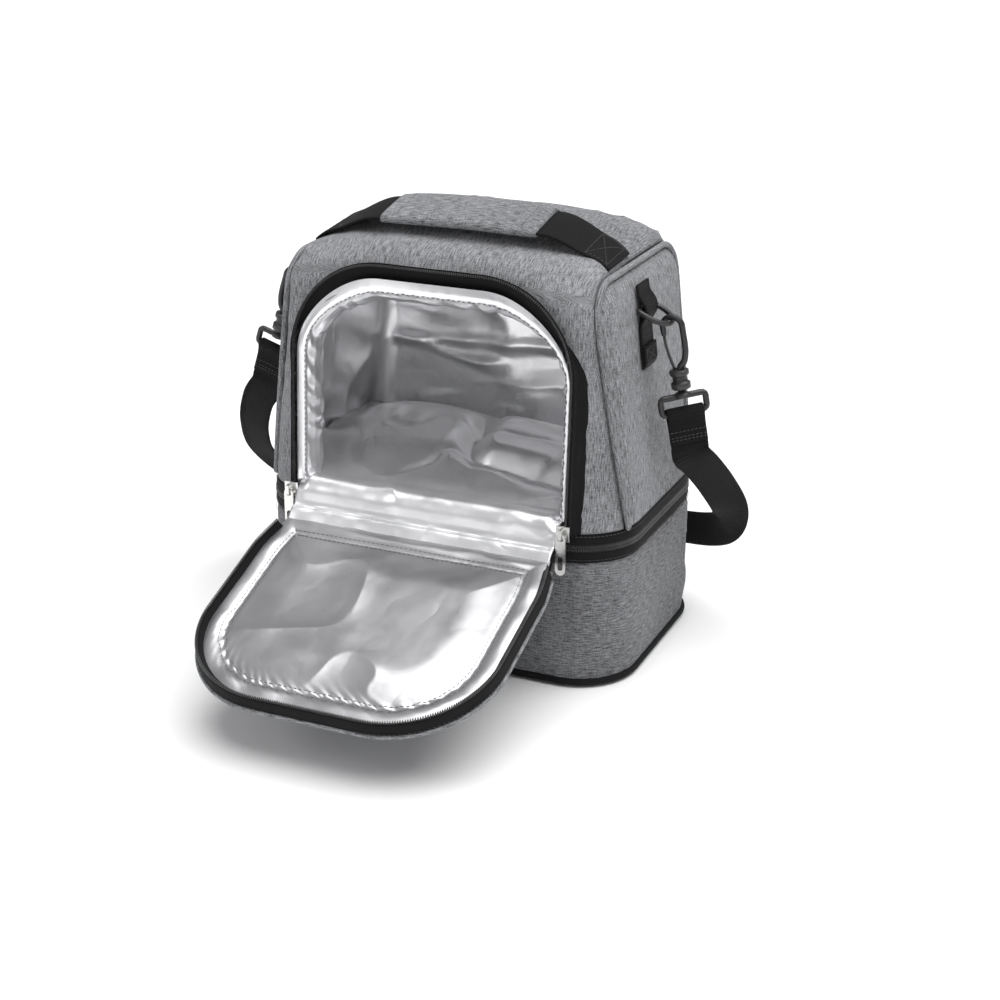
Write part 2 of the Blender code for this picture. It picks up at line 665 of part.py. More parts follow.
def handle():
    """Webbing sewn down at both ends of the top, lifted in the middle, with a padded sleeve round it."""
    reach = TOP_HALF_WIDTH - 9.0
    x = np.linspace(-reach, reach, 25)
    top = RIM_HEIGHT + CROWN * (1 - (x / TOP_HALF_WIDTH) ** 2)
    rise = HANDLE_RISE * np.clip((reach - 14 - np.abs(x)) / 26, 0, 1) ** 0.8
    edge = np.clip(np.abs(x) - (TOP_HALF_WIDTH - TOP_CORNER), 0, None)
    drop = TOP_CORNER - np.sqrt(TOP_CORNER**2 - edge**2)
    path = np.stack([x, np.full_like(x, HANDLE_Y), top + rise + WEBBING_THICK / 2 + 1.2 - drop], 1)
    sweep("handle_webbing", path, rectangle(HANDLE_WIDTH, WEBBING_THICK), "black_webbing", (0, 1, 0))
    inside = path[np.abs(x) < GRIP_HALF + 1]
    outer = sweep("handle_grip", inside, rectangle(HANDLE_WIDTH + 5, WEBBING_THICK + 6), "grey_fabric", (0, 1, 0))
    longer = path[np.abs(x) < GRIP_HALF + 12]
    hollow = sweep("handle_grip_hollow", longer, rectangle(HANDLE_WIDTH + 2 * GAP, WEBBING_THICK + 2 * GAP),
                   "grey_fabric", (0, 1, 0))
    boolean(outer, hollow)


def side_x(z):
    return float(half_width(np.float64(z)))


def tab(side, word):
    """A webbing strip sewn to the side, with a loop near its top for the D-ring's bar."""
    heights = np.array([TAB_LOW, BAR_Z - 12, BAR_Z - 8, BAR_Z - 4, BAR_Z + 4, BAR_Z + 8, BAR_Z + 12, TAB_HIGH])
    lift = np.array([0.0, 0.0, 2.6, 4.6, 4.6, 2.6, 0.0, 0.0])
    path = [(side * (side_x(z) + 1.1 + out), TAB_Y, z) for z, out in zip(heights, lift)]
    sweep(f"{word}_tab", path, rectangle(WEBBING - 3.0, WEBBING_THICK), "black_webbing", (0, 1, 0))


def hardware(side, word, droop, tilt, turn):
    """D-ring, swivel hook with its gate, and the loop that the strap is sewn round; returns the strap's start."""
    bar = np.array([side * (side_x(BAR_Z) + 2.3), TAB_Y, BAR_Z])
    out = np.array([side * math.cos(droop), 0.0, -math.sin(droop)])
    wire = 1.6
    arc = [(RING_REACH - 13.0 + 13.0 * math.cos(a), 13.0 * math.sin(a)) for a in np.radians(np.linspace(-90, 90, 9))]
    ring = [bar + u * out + v * np.array([0, 1, 0]) for u, v in arc + [(0.0, 13.0), (0.0, -13.0)]]
    sweep(f"{word}_dring", ring, circle(wire, 6), "black_plastic", np.cross(out, [0, 1, 0]), True, tuple(bar))
    contact = bar + RING_REACH * out
    down = np.array([side * math.sin(tilt), 0.0, -math.cos(tilt)])
    across = np.array([side * math.cos(tilt), 0.0, math.sin(tilt)])
    depth = np.array([0.0, 1.0, 0.0])

    def at(u, d, n=0.0):
        return contact + u * across + d * down + n * depth

    bend = [(6.6 * math.cos(a), 2.7 - 6.6 * math.sin(a)) for a in np.radians(np.linspace(180, 0, 9))]
    shank = [at(u, d) for u, d in [(-6.6, 8.0)] + bend + [(6.6, 16.0), (5.6, 24.0), (2.0, 34.0)]]
    hook = sweep(f"{word}_hook", shank, circle(2.0, 6), "black_plastic", depth, origin=tuple(bar))
    collar = sweep(f"{word}_collar", [at(0, HOOK_LONG), at(0, HOOK_LONG + 13)], circle(6.3, 12), "black_plastic", depth)
    join(f"{word}_hook", [hook, collar])
    gate = [at(-2.6, HOOK_LONG - 0.4), at(-6.6, 8.5)]
    sweep(f"{word}_gate", gate, rectangle(3.0, 1.2), "black_plastic", depth, origin=tuple(at(-2.6, HOOK_LONG - 0.4)))
    wide = math.cos(turn) * across + math.sin(turn) * depth
    top, low = HOOK_LONG + 17.5, HOOK_LONG + 28.5
    frame = [contact + u * wide + d * down for u, d in ((-15, top), (0, top), (15, top), (15, low), (0, low), (-15, low))]
    face = np.cross(wide, down)
    loop = sweep(f"{word}_strap_loop", frame, circle(1.9, 6), "black_plastic", face, True, tuple(at(0, top)))
    pin = sweep(f"{word}_pin", [at(0, HOOK_LONG + 13.3), at(0, top)], circle(2.4, 8), "black_plastic", depth)
    join(f"{word}_strap_loop", [loop, pin])
    fold = [(0.9, 80.0), (0.9, low + 7), (3.1, low + 1), (2.3, low - 2.2), (0, low - 3.1)]
    fold += [(-n, d) for n, d in fold[-2::-1]]
    path = [contact + n * face + d * down for n, d in fold]
    sweep(f"{word}_strap_end", path, rectangle(WEBBING, WEBBING_THICK), "black_webbing", wide)
    return contact + 82.5 * down, contact + 89 * down, wide


def smooth(points, count):
    """A Catmull-Rom curve through the points, evenly sampled."""
    points = np.asarray(points, float)
    padded = np.concatenate([2 * points[:1] - points[1:2], points, 2 * points[-1:] - points[-2:-1]])
    t = np.linspace(0, len(points) - 1, 400)
    i = np.minimum(t.astype(int), len(points) - 2)
    u = (t - i)[:, None]
    a, b, c, d = padded[i], padded[i + 1], padded[i + 2], padded[i + 3]
    curve = 0.5 * (2 * b + (c - a) * u + (2 * a - 5 * b + 4 * c - d) * u**2 + (3 * b - a - 3 * c + d) * u**3)
    length = np.concatenate([[0], np.cumsum(np.linalg.norm(np.diff(curve, axis=0), axis=1))])
    even = np.linspace(0, length[-1], count)
    return np.stack([np.interp(even, length, curve[:, k]) for k in range(3)], 1)


def strap(word, start, wide, route):
    """One half of the shoulder strap: it hangs from its loop, turns, and lies behind the bag on edge."""
    path = smooth(start + route, 33)
    share = np.clip(np.linspace(-0.35, 1.9, 33), 0, 1)[:, None]
    share = share * share * (3 - 2 * share)
    across = wide * (1 - share) + np.array([0, 0, -1.0]) * share
    split = 15
    section = rectangle(WEBBING, WEBBING_THICK)
    tangent = path[split + 1] - path[split]
    tangent /= np.linalg.norm(tangent)
    drop = path[: split + 1].copy()
    drop[-1] -= 2.2 * tangent
    sweep(f"{word}_strap_drop", drop, section, "black_webbing", across[: split + 1])
    sweep(f"{word}_strap_back", path[split:], section, "black_webbing", across[split:])


def adjuster():
    """The three-bar slide that joins the two halves of the strap behind the bag."""
    x, y, z = 0.0, STRAP_BACK_Y, STRAP_BACK_Z
    frame = box("strap_adjuster", (x - 14, y - 1.6, z - 17), (x + 14, y + 1.6, z + 17), "black_plastic", (x, y, z))
    for side in (-1, 1):
        low = x + side * 6.2 - 3.4
        boolean(frame, box(f"adjuster_slot{side}", (low, y - 5, z - 13.5), (low + 6.8, y + 5, z + 13.5), "black_plastic"))


BAR_Z = 240.0
RING_REACH = 20.0
HOOK_LONG = 31.0
STRAP_BACK_Y = 104.0
STRAP_BACK_Z = 43.0
# Points of each strap half: out from the side of the bag, and its y and z
RIGHT_ROUTE = [(25.5, 0, 134), (30.5, 20, 114), (33.5, 42, 90), (25.5, 64, 68), (7.5, 85, 54), (-20.5, 98, 47), (-62.5, 104, 44)]
LEFT_ROUTE = [(43.5, -6, 136), (53.5, 4, 112), (57.5, 22, 86), (45.5, 46, 66), (19.5, 74, 54), (-14.5, 96, 47), (-62.5, 104, 44)]


def build():
    for old in list(bpy.data.objects):
        bpy.data.objects.remove(old)
    lower_compartment()
    upper_compartment()
    opening_trim()
    flap()
    pulls()
    handle()
    tab(-1, "left")
    tab(1, "right")
    end = (STRAP_BACK_Y, STRAP_BACK_Z)
    *start, wide = hardware(1, "right", math.radians(25), math.radians(10.7), math.radians(33))
    route = [(HALF + out, y, z) for out, y, z in RIGHT_ROUTE]
    strap("right", start, wide, route + [(14.6, *end)])
    *start, wide = hardware(-1, "left", math.radians(16), math.radians(18), math.radians(0))
    route = [(-HALF - out, y, z) for out, y, z in LEFT_ROUTE]
    strap("left", start, wide, route + [(-14.6, *end)])
    adjuster()


build()
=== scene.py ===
# %% [markdown]
# # A soft cooler bag, standing open
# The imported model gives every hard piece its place. Here the bag gets its cloth, foil, zips, webbing and
# metal. Lengths are in millimetres until a mesh is made, because a bag maker's drawing is in millimetres.

# %% Frame and units
import math

import bpy
import mathutils
import numpy as np
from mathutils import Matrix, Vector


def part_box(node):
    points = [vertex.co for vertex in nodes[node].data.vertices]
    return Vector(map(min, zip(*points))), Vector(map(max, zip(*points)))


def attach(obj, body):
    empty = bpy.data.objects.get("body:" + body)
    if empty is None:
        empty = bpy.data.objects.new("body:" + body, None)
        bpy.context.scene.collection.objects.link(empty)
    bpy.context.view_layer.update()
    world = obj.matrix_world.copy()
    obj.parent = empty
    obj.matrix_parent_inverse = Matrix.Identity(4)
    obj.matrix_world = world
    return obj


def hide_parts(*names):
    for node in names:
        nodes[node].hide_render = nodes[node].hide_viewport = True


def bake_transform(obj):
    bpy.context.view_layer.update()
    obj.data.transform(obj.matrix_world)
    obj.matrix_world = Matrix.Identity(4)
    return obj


MM = 0.001
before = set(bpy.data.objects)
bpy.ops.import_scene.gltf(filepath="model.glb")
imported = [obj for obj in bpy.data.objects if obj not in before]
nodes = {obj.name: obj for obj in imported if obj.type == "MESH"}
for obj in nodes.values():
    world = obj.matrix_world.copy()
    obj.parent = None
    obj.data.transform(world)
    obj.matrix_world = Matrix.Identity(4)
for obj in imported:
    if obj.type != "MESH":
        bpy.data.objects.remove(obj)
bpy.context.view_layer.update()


def box_mm(node):
    """Lowest and highest corner of a node, in millimetres."""
    low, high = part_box(node)
    return np.array(low) / MM, np.array(high) / MM


# %% [markdown]
# The bag's own measures. The two boxes part at the ring zip; above it the walls lean in to a narrower top.
# The height of the ring, the depth and the width are read from the frame, so the cloth fits its foam.

# %% Measures
lower_low, lower_high = box_mm("lower_wrap_panel")
HALF = 132.5
BACK_Y = float(lower_high[1])
FRONT_Y = -85.5
RING_Z = 98.0
BAND = 10.0
WALL_Z = RING_Z + BAND
RIM_Z = 271.0
TOP_HALF = 113.0
CROWN = 8.0
EDGE_R = 30.0
LEAN = math.radians(4.0)
LOW_CORNER = 40.0
TOP_CORNER = 25.0
EDGE_Z = RIM_Z - EDGE_R
FRONT_EDGE_Y = FRONT_Y + (EDGE_Z - WALL_Z) * math.tan(LEAN) + EDGE_R
BACK_EDGE_Y = BACK_Y - EDGE_R
DOOR_Z = WALL_Z - 1.0
DOOR_HALF = 98.0
DOOR_HEIGHT = 160.0
DOOR_CORNER = 62.0
DOOR_LIP = 6.0
FLARE = 15.0
HINGE = np.array([0.0, FRONT_Y - 14.0, RING_Z + 4.0])
FLAP_DROP = math.radians(20.0)
FLAP_OFFSET = -4.0
PAD_START = 2.5
COVER_START = 7.0
EDGE_START = 13.0
print("lower box", lower_low.round(1), lower_high.round(1))

# %% [markdown]
# Cloth is never quite smooth. A lattice of random numbers, blended between its points, gives soft lumps;
# folding such lumps about zero gives the sharp ridges of a film that has been crushed.

# %% Random shapes
_lattice = np.random.default_rng(7).uniform(-1, 1, (24, 24, 24))


def lumps(points, size, shift=0.0):
    """Smooth values from -1 to 1: lattice values `size` mm apart, blended with u*u*(3 - 2u)."""
    q = np.asarray(points, float) / size + 37.0 + shift
    cell = np.floor(q).astype(int)
    u = q - cell
    u = u * u * (3 - 2 * u)
    total = 0.0
    for i in (0, 1):
        for j in (0, 1):
            for k in (0, 1):
                weight = np.abs(1 - i - u[..., 0]) * np.abs(1 - j - u[..., 1]) * np.abs(1 - k - u[..., 2])
                corner = _lattice[(cell[..., 0] + i) % 24, (cell[..., 1] + j) % 24, (cell[..., 2] + k) % 24]
                total = total + weight * corner
    return total


def creases(points, size, shift=0.0):
    """Ridges of crushed film, 0 to 1: highest where lumps cross zero, read on space that other lumps bend."""
    bend = np.stack([lumps(points, size * 1.7, shift + 3.1 * k) for k in range(3)], -1)
    return 1 - np.clip(2.4 * np.abs(lumps(points + 0.5 * size * bend, size, shift + 11)), 0, 1)


def rise(value, low, high):
    """A soft step from 0 at `low` to 1 at `high`."""
    t = np.clip((np.asarray(value, float) - low) / (high - low), 0, 1)
    return t * t * (3 - 2 * t)


# %% [markdown]
# Every sheet starts as a grid of points. Its texture map is measured along the cloth itself, in
# millimetres, so that a weave keeps its true size on every panel.

# %% From grids to meshes
def arc_map(grid):
    """Cloth coordinates of a grid: running length along the columns and along the rows."""
    across = np.zeros(grid.shape[:2])
    along = np.zeros(grid.shape[:2])
    across[:, 1:] = np.cumsum(np.linalg.norm(np.diff(grid, axis=1), axis=2), axis=1)
    along[1:] = np.cumsum(np.linalg.norm(np.diff(grid, axis=0), axis=2), axis=0)
    return np.stack([across - across.mean(1, keepdims=True), along], -1)


def build(name, points, faces, look, body, uv=None, smooth=True):
    """A mesh piece from points in mm and faces, with its cloth map, riding on a body unless that is None."""
    mesh = bpy.data.meshes.new(name)
    faces = faces.tolist() if isinstance(faces, np.ndarray) else faces
    mesh.from_pydata((np.asarray(points, float).reshape(-1, 3) * MM).tolist(), [], faces)
    if uv is not None:
        layer = mesh.uv_layers.new(name="cloth")
        corner = np.empty(len(mesh.loops), np.int32)
        mesh.loops.foreach_get("vertex_index", corner)
        flat = np.asarray(uv, float).reshape(-1, 2)[corner] * MM
        layer.data.foreach_set("uv", flat.astype(np.float32).ravel())
    mesh.polygons.foreach_set("use_smooth", np.full(len(mesh.polygons), smooth))
    mesh.validate()
    piece = bpy.data.objects.new(name, mesh)
    bpy.context.scene.collection.objects.link(piece)
    mesh.materials.append(look)
    if body:
        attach(piece, body)
    return piece


def grid_quads(rows, cols, wrap=False, flip=False):
    """Vertex numbers of a grid's quads; `wrap` joins the last column to the first."""
    index = np.arange(rows * cols).reshape(rows, cols)
    right = np.roll(index, -1, 1) if wrap else index[:, 1:]
    left = index if wrap else index[:, :-1]
    quads = np.stack([left[:-1], right[:-1], right[1:], left[1:]], -1).reshape(-1, 4)
    return quads[:, ::-1] if flip else quads


def normals(grid, wrap=False):
    """Unit normals of a grid: the cross product of its two directions."""
    if wrap:
        across = np.roll(grid, -1, 1) - np.roll(grid, 1, 1)
    else:
        across = np.gradient(grid, axis=1)
    out = np.cross(across, np.gradient(grid, axis=0))
    return out / np.maximum(np.linalg.norm(out, axis=2, keepdims=True), 1e-9)


def sheet(name, grid, look, body, thick=0.8, keep=None, wrap=False, flip=False, uv=None):
    """A sheet of cloth: the grid's outer side is where its normals point; its thickness goes inwards."""
    quads = grid_quads(*grid.shape[:2], wrap, flip)
    if keep is not None:
        quads = quads[keep.reshape(-1)[quads].all(1)]
    piece = build(name, grid, quads, look, body, arc_map(grid) if uv is None else uv)
    if thick:
        wall = piece.modifiers.new("thickness", "SOLIDIFY")
        wall.thickness = thick * MM
        wall.offset = -1
    return piece


def cap(grid, *ends):
    """Closes a grid of rings: each end named (0 or -1) gains a row with every point at that ring's mean."""
    for end in ends:
        row = np.broadcast_to(grid[end].mean(0), grid[end].shape)[None]
        grid = np.concatenate([row, grid] if end == 0 else [grid, row])
    return grid


def frames(path, across, closed=False):
    """Unit vectors along a path: tangent, across it, and the third at right angles to both."""
    path = np.asarray(path, float)
    if closed:
        tangent = np.roll(path, -1, 0) - np.roll(path, 1, 0)
    else:
        tangent = np.gradient(path, axis=0)
    tangent = tangent / np.linalg.norm(tangent, axis=1, keepdims=True)
    across = np.broadcast_to(np.asarray(across, float), path.shape)
    side = across - (across * tangent).sum(1, keepdims=True) * tangent
    side = side / np.linalg.norm(side, axis=1, keepdims=True)
    return tangent, side, np.cross(tangent, side)


def sweep(name, path, section, look, body, across, closed=False, sharp=False):
    """A closed body: a section of (side, up) points carried along a path, with both ends filled."""
    path = np.asarray(path, float)
    _, side, up = frames(path, across, closed)
    section = np.asarray(section, float)
    if section.ndim == 2:
        section = np.broadcast_to(section, (len(path), *section.shape))
    rings = path[:, None] + side[:, None] * section[..., :1] + up[:, None] * section[..., 1:]
    count, sides = rings.shape[:2]
    length = np.concatenate([[0], np.cumsum(np.linalg.norm(np.diff(path, axis=0), axis=1))])
    girth = np.linalg.norm(section - np.roll(section, 1, 1), axis=2).cumsum(1)
    uv = np.stack([girth, np.broadcast_to(length[:, None], girth.shape)], -1)
    if closed:
        index = np.arange(count * sides).reshape(count, sides)
        nxt = np.roll(index, -1, 0)
        quads = np.stack([index, np.roll(index, -1, 1), np.roll(nxt, -1, 1), nxt], -1).reshape(-1, 4)
        return build(name, rings, quads, look, body, uv, not sharp)
    faces = grid_quads(count, sides, True).tolist()
    faces.append(list(range(sides))[::-1])
    faces.append([(count - 1) * sides + j for j in range(sides)])
    return build(name, rings, faces, look, body, uv, not sharp)


def disc(radius, sides=12, squash=1.0):
    """A round or oval section."""
    angle = np.linspace(0, 2 * math.pi, sides, endpoint=False)
    return np.stack([radius * np.cos(angle), radius * squash * np.sin(angle)], 1)


def strap_section(wide, thick, edge=4):
    """A flat band with rounded edges: two half circles joined by straights."""
    r = thick / 2
    angle = np.linspace(-math.pi / 2, math.pi / 2, edge)
    right = np.stack([wide / 2 - r + r * np.cos(angle), r * np.sin(angle)], 1)
    steps = np.linspace(1, -1, 7)[1:-1, None]
    top = np.concatenate([steps * (wide / 2 - r), np.full_like(steps, r)], 1)
    return np.concatenate([right, top, -right, -top])


def smooth_path(points, step=2.0):
    """A Catmull-Rom curve through the points, read off every `step` mm."""
    points = np.asarray(points, float)
    padded = np.concatenate([2 * points[:1] - points[1:2], points, 2 * points[-1:] - points[-2:-1]])
    t = np.linspace(0, len(points) - 1, 60 * len(points))
    i = np.minimum(t.astype(int), len(points) - 2)
    u = (t - i)[:, None]
    a, b, c, d = padded[i], padded[i + 1], padded[i + 2], padded[i + 3]
    curve = 0.5 * (2 * b + (c - a) * u + (2 * a - 5 * b + 4 * c - d) * u**2 + (3 * b - a - 3 * c + d) * u**3)
    return even(curve, step)


def even(curve, step, closed=False):
    """The same curve with points `step` mm apart along it."""
    if closed:
        curve = np.concatenate([curve, curve[:1]])
    length = np.concatenate([[0], np.cumsum(np.linalg.norm(np.diff(curve, axis=0), axis=1))])
    count = max(3, int(round(length[-1] / step)) + 1)
    stations = np.linspace(0, length[-1], count)
    stations = stations[:-1] if closed else stations
    return np.stack([np.interp(stations, length, curve[:, k]) for k in range(curve.shape[1])], 1)


def repeat(name, shape, faces, places, look, body):
    """One small shape copied to many places, each (origin, three axes); one array product moves them all."""
    origin, axes = places
    points = origin[:, None] + np.einsum("pk,nkc->npc", shape, axes)
    count = len(shape)
    faces = np.asarray(faces)
    quads = (faces[None] + count * np.arange(len(origin))[:, None, None]).reshape(-1, faces.shape[1])
    return build(name, points, quads, look, body)


def bean(length, wide, high, rings=4, sides=6):
    """A small rounded bar along its first axis: circles whose radius follows a half ellipse."""
    t = np.linspace(-0.93, 0.93, rings)
    radius = np.sqrt(1 - t**2)
    angle = np.linspace(0, 2 * math.pi, sides, endpoint=False)
    x = np.broadcast_to(t[:, None] * length / 2, (rings, sides))
    y = radius[:, None] * np.cos(angle) * wide / 2
    z = radius[:, None] * np.sin(angle) * high / 2
    body = np.stack([x, y, z], -1).reshape(-1, 3)
    points = np.concatenate([body, [[-length / 2, 0, 0], [length / 2, 0, 0]]])
    quads = grid_quads(rings, sides, True)[:, ::-1].tolist()
    start, end = rings * sides, rings * sides + 1
    last = (rings - 1) * sides
    for j in range(0, sides, 2):
        quads.append([start, j, (j + 1) % sides, (j + 2) % sides])
        quads.append([end, last + (j + 2) % sides, last + (j + 1) % sides, last + j])
    return points, np.array(quads)


def stitches(name, path, up, look, body, pitch=3.4, length=2.4, size=0.55, closed=False):
    """Sewing thread: one rounded bar each `pitch` mm along a seam, half sunk in the cloth."""
    path = even(np.asarray(path, float), pitch, closed)
    tangent, side, lift = frames(path, up, closed)
    shape, faces = bean(length, size, size)
    return repeat(name, shape, faces, (path, np.stack([tangent, lift, side], 1)), look, body)


def coil(name, path, across, look, body, pitch=1.5, wide=2.6, high=1.7, closed=False):
    """A nylon zip coil: a rounded loop across the chain each `pitch` mm, leaning as a spiral does."""
    path = even(np.asarray(path, float), pitch, closed)
    tangent, side, up = frames(path, across, closed)
    shape, faces = bean(wide, 1.05, high, 4, 6)
    leaning = side + 0.28 * tangent
    return repeat(name, shape, faces, (path, np.stack([leaning, tangent, up], 1)), look, body)


# %% [markdown]
# Finishes come before the pieces, because each piece is given its own when it is made. The grey cloth is
# woven from yarns of two shades, so it shows short streaks both ways. Each yarn could be modelled, but a
# weave of half a millimetre is far too fine for a mesh; a node group on the cloth map paints it instead.

# %% Node helpers
def new_group(name, inputs, outputs):
    """A shader node group with named sockets, given as (name, kind, value) and (name, kind)."""
    group = bpy.data.node_groups.new(name, "ShaderNodeTree")
    for label, kind, value in inputs:
        group.interface.new_socket(label, in_out="INPUT", socket_type=kind).default_value = value
    for label, kind in outputs:
        group.interface.new_socket(label, in_out="OUTPUT", socket_type=kind)
    return group, group.nodes.new("NodeGroupInput"), group.nodes.new("NodeGroupOutput")


def put(tree, kind, inputs=(), **settings):
    """A node in a tree, with its settings and its inputs; an input is a number or another node's socket."""
    node = tree.nodes.new(kind)
    for key, value in settings.items():
        setattr(node, key, value)
    for key, value in dict(inputs).items():
        if isinstance(value, bpy.types.NodeSocket):
            tree.links.new(value, node.inputs[key])
        else:
            node.inputs[key].default_value = value
    return node


def maths(tree, operation, a, b=0.5, clamp=False):
    """One sum: the result of `operation` on a and b."""
    return put(tree, "ShaderNodeMath", {0: a, 1: b}, operation=operation, use_clamp=clamp).outputs[0]


def streaks(tree, vector, scale, shift, detail=2.0):
    """Noise drawn out in one direction: the map is scaled by a different amount each way first."""
    stretched = put(tree, "ShaderNodeMapping", {"Vector": vector, "Scale": scale, "Location": shift})
    return put(
        tree, "ShaderNodeTexNoise", {"Vector": stretched.outputs[0], "Scale": 1.0, "Detail": detail}
    ).outputs[0]


def blend_colours(tree, factor, first, second):
    """A mix of two colours."""
    return put(tree, "ShaderNodeMix", {0: factor, 6: first, 7: second}, data_type="RGBA").outputs[2]


# %% Heather cloth group
cloth_group, start, end = new_group(
    "Heather weave",
    [
        ("Map", "NodeSocketVector", (0, 0, 0)),
        ("Dark", "NodeSocketColor", (0.03, 0.03, 0.03, 1)),
        ("Light", "NodeSocketColor", (0.4, 0.4, 0.4, 1)),
        ("Along", "NodeSocketFloat", 0.5),
    ],
    [("Color", "NodeSocketColor"), ("Height", "NodeSocketFloat"), ("Roughness", "NodeSocketFloat")],
)
field = start.outputs["Map"]
warp = streaks(cloth_group, field, (1400, 150, 1), (3, 7, 0))
weft = streaks(cloth_group, field, (150, 1400, 1), (9, 1, 0))
specks = streaks(cloth_group, field, (900, 900, 1), (5, 2, 0), 3.0)
shade = put(cloth_group, "ShaderNodeMix", {0: start.outputs["Along"], 2: weft, 3: warp}).outputs[0]
shade = maths(
    cloth_group,
    "ADD",
    maths(cloth_group, "MULTIPLY", shade, 0.72),
    maths(cloth_group, "MULTIPLY", specks, 0.28),
)
cloudy = streaks(cloth_group, field, (14, 14, 1), (2, 2, 0))
shade = maths(
    cloth_group, "ADD", shade, maths(cloth_group, "MULTIPLY", maths(cloth_group, "SUBTRACT", cloudy), 0.12)
)
level = put(cloth_group, "ShaderNodeMapRange", {"Value": shade, "From Min": 0.38, "From Max": 0.62})
across, along = (
    put(cloth_group, "ShaderNodeSeparateXYZ", {0: field}).outputs[axis] for axis in (0, 1)
)
ribs_across = maths(cloth_group, "SINE", maths(cloth_group, "MULTIPLY", across, 9500.0), 0.0)
ribs_along = maths(cloth_group, "SINE", maths(cloth_group, "MULTIPLY", along, 9500.0), 0.0)
weave = maths(cloth_group, "MULTIPLY", ribs_across, ribs_along)
height = maths(
    cloth_group,
    "ADD",
    maths(cloth_group, "MULTIPLY", weave, 0.3),
    maths(cloth_group, "MULTIPLY", shade, 0.9),
)
cloth_group.links.new(
    blend_colours(cloth_group, level.outputs[0], start.outputs["Dark"], start.outputs["Light"]),
    end.inputs["Color"],
)
cloth_group.links.new(height, end.inputs["Height"])
cloth_group.links.new(
    maths(cloth_group, "ADD", maths(cloth_group, "MULTIPLY", specks, 0.2), 0.72), end.inputs["Roughness"]
)

# %% [markdown]
# Webbing and zip tape are woven too, but in one black yarn, so what shows is their ribs. One group serves
# both: ribs run across the band at a chosen pitch, and a finer twill breaks them up. A faint grey is mixed
# in where the ribs and twill stand highest, a painted sheen on their crests, and a slow noise breaks it
# into patches, as dust and handling would.

# %% Ribbed band group
band_group, start, end = new_group(
    "Ribbed band",
    [
        ("Map", "NodeSocketVector", (0, 0, 0)),
        ("Base", "NodeSocketColor", (0.004, 0.004, 0.0045, 1)),
        ("Dust and crest sheen", "NodeSocketColor", (0.016, 0.016, 0.017, 1)),
        ("Ribs", "NodeSocketFloat", 3000.0),
        ("Twill", "NodeSocketFloat", 6000.0),
    ],
    [("Color", "NodeSocketColor"), ("Height", "NodeSocketFloat")],
)
field = start.outputs["Map"]
across, along = (put(band_group, "ShaderNodeSeparateXYZ", {0: field}).outputs[axis] for axis in (0, 1))
rib = maths(band_group, "SINE", maths(band_group, "MULTIPLY", along, start.outputs["Ribs"]), 0.0)
slant = maths(
    band_group,
    "ADD",
    maths(band_group, "MULTIPLY", across, start.outputs["Twill"]),
    maths(band_group, "MULTIPLY", along, 2400.0),
)
twill = maths(band_group, "SINE", slant, 0.0)
fluff = streaks(band_group, field, (700, 700, 1), (1, 4, 0), 3.0)
height = maths(
    band_group, "ADD", maths(band_group, "MULTIPLY", rib, 0.5), maths(band_group, "MULTIPLY", twill, 0.35)
)
height = maths(band_group, "ADD", height, fluff)
# Painted sheen and dust: the grey mix follows the rib height, so the crests are painted lighter, and the slow
# noise patches it.
dust_and_sheen = maths(band_group, "MULTIPLY", maths(band_group, "ADD", height, 1.0), 0.22)
dust_and_sheen = maths(band_group, "MULTIPLY", dust_and_sheen, streaks(band_group, field, (60, 60, 1), (6, 6, 0)), True)
band_group.links.new(
    blend_colours(band_group, dust_and_sheen, start.outputs["Base"], start.outputs["Dust and crest sheen"]), end.inputs["Color"]
)
band_group.links.new(height, end.inputs["Height"])

# %% [markdown]
# The foil lining is a thin metal film on soft backing. Its big folds are in the mesh; the small ones come
# from noise folded about its middle and read as a height, on space that a second noise bends. Rubbed spots
# are a little duller.

# %% Crushed film group
film_group, start, end = new_group(
    "Crushed film",
    [
        ("Place", "NodeSocketVector", (0, 0, 0)),
        ("Size", "NodeSocketFloat", 90.0),
        ("Pale", "NodeSocketColor", (0.9, 0.9, 0.91, 1)),
    ],
    [("Color", "NodeSocketColor"), ("Height", "NodeSocketFloat"), ("Roughness", "NodeSocketFloat")],
)
place = start.outputs["Place"]
wobble = put(film_group, "ShaderNodeTexNoise", {"Vector": place, "Scale": 45.0, "Detail": 2.0})
bent = put(
    film_group,
    "ShaderNodeVectorMath",
    {0: wobble.outputs["Color"], 1: (0.014, 0.014, 0.014)},
    operation="MULTIPLY",
)
moved = put(film_group, "ShaderNodeVectorMath", {0: place, 1: bent.outputs[0]}, operation="ADD").outputs[0]
coarse = put(
    film_group, "ShaderNodeTexNoise", {"Vector": moved, "Scale": start.outputs["Size"], "Detail": 0.0}
)
facets = maths(film_group, "ABSOLUTE", maths(film_group, "SUBTRACT", coarse.outputs[0]), 0.0)
soft = put(
    film_group, "ShaderNodeTexNoise", {"Vector": moved, "Scale": 30.0, "Detail": 3.0, "Roughness": 0.6}
)
fine = put(film_group, "ShaderNodeTexNoise", {"Vector": place, "Scale": 900.0, "Detail": 2.0})
height = maths(
    film_group,
    "ADD",
    maths(film_group, "MULTIPLY", facets, 0.8),
    maths(film_group, "MULTIPLY", soft.outputs[0], 0.5),
)
dull = put(
    film_group,
    "ShaderNodeMapRange",
    {"Value": soft.outputs[0], "From Min": 0.35, "From Max": 0.7, "To Min": 0.3, "To Max": 0.4},
)
dim = put(
    film_group,
    "ShaderNodeVectorMath",
    {0: start.outputs["Pale"], 1: (0.82, 0.82, 0.825)},
    operation="MULTIPLY",
).outputs[0]
film_group.links.new(
    blend_colours(film_group, soft.outputs[0], dim, start.outputs["Pale"]), end.inputs["Color"]
)
film_group.links.new(height, end.inputs["Height"])
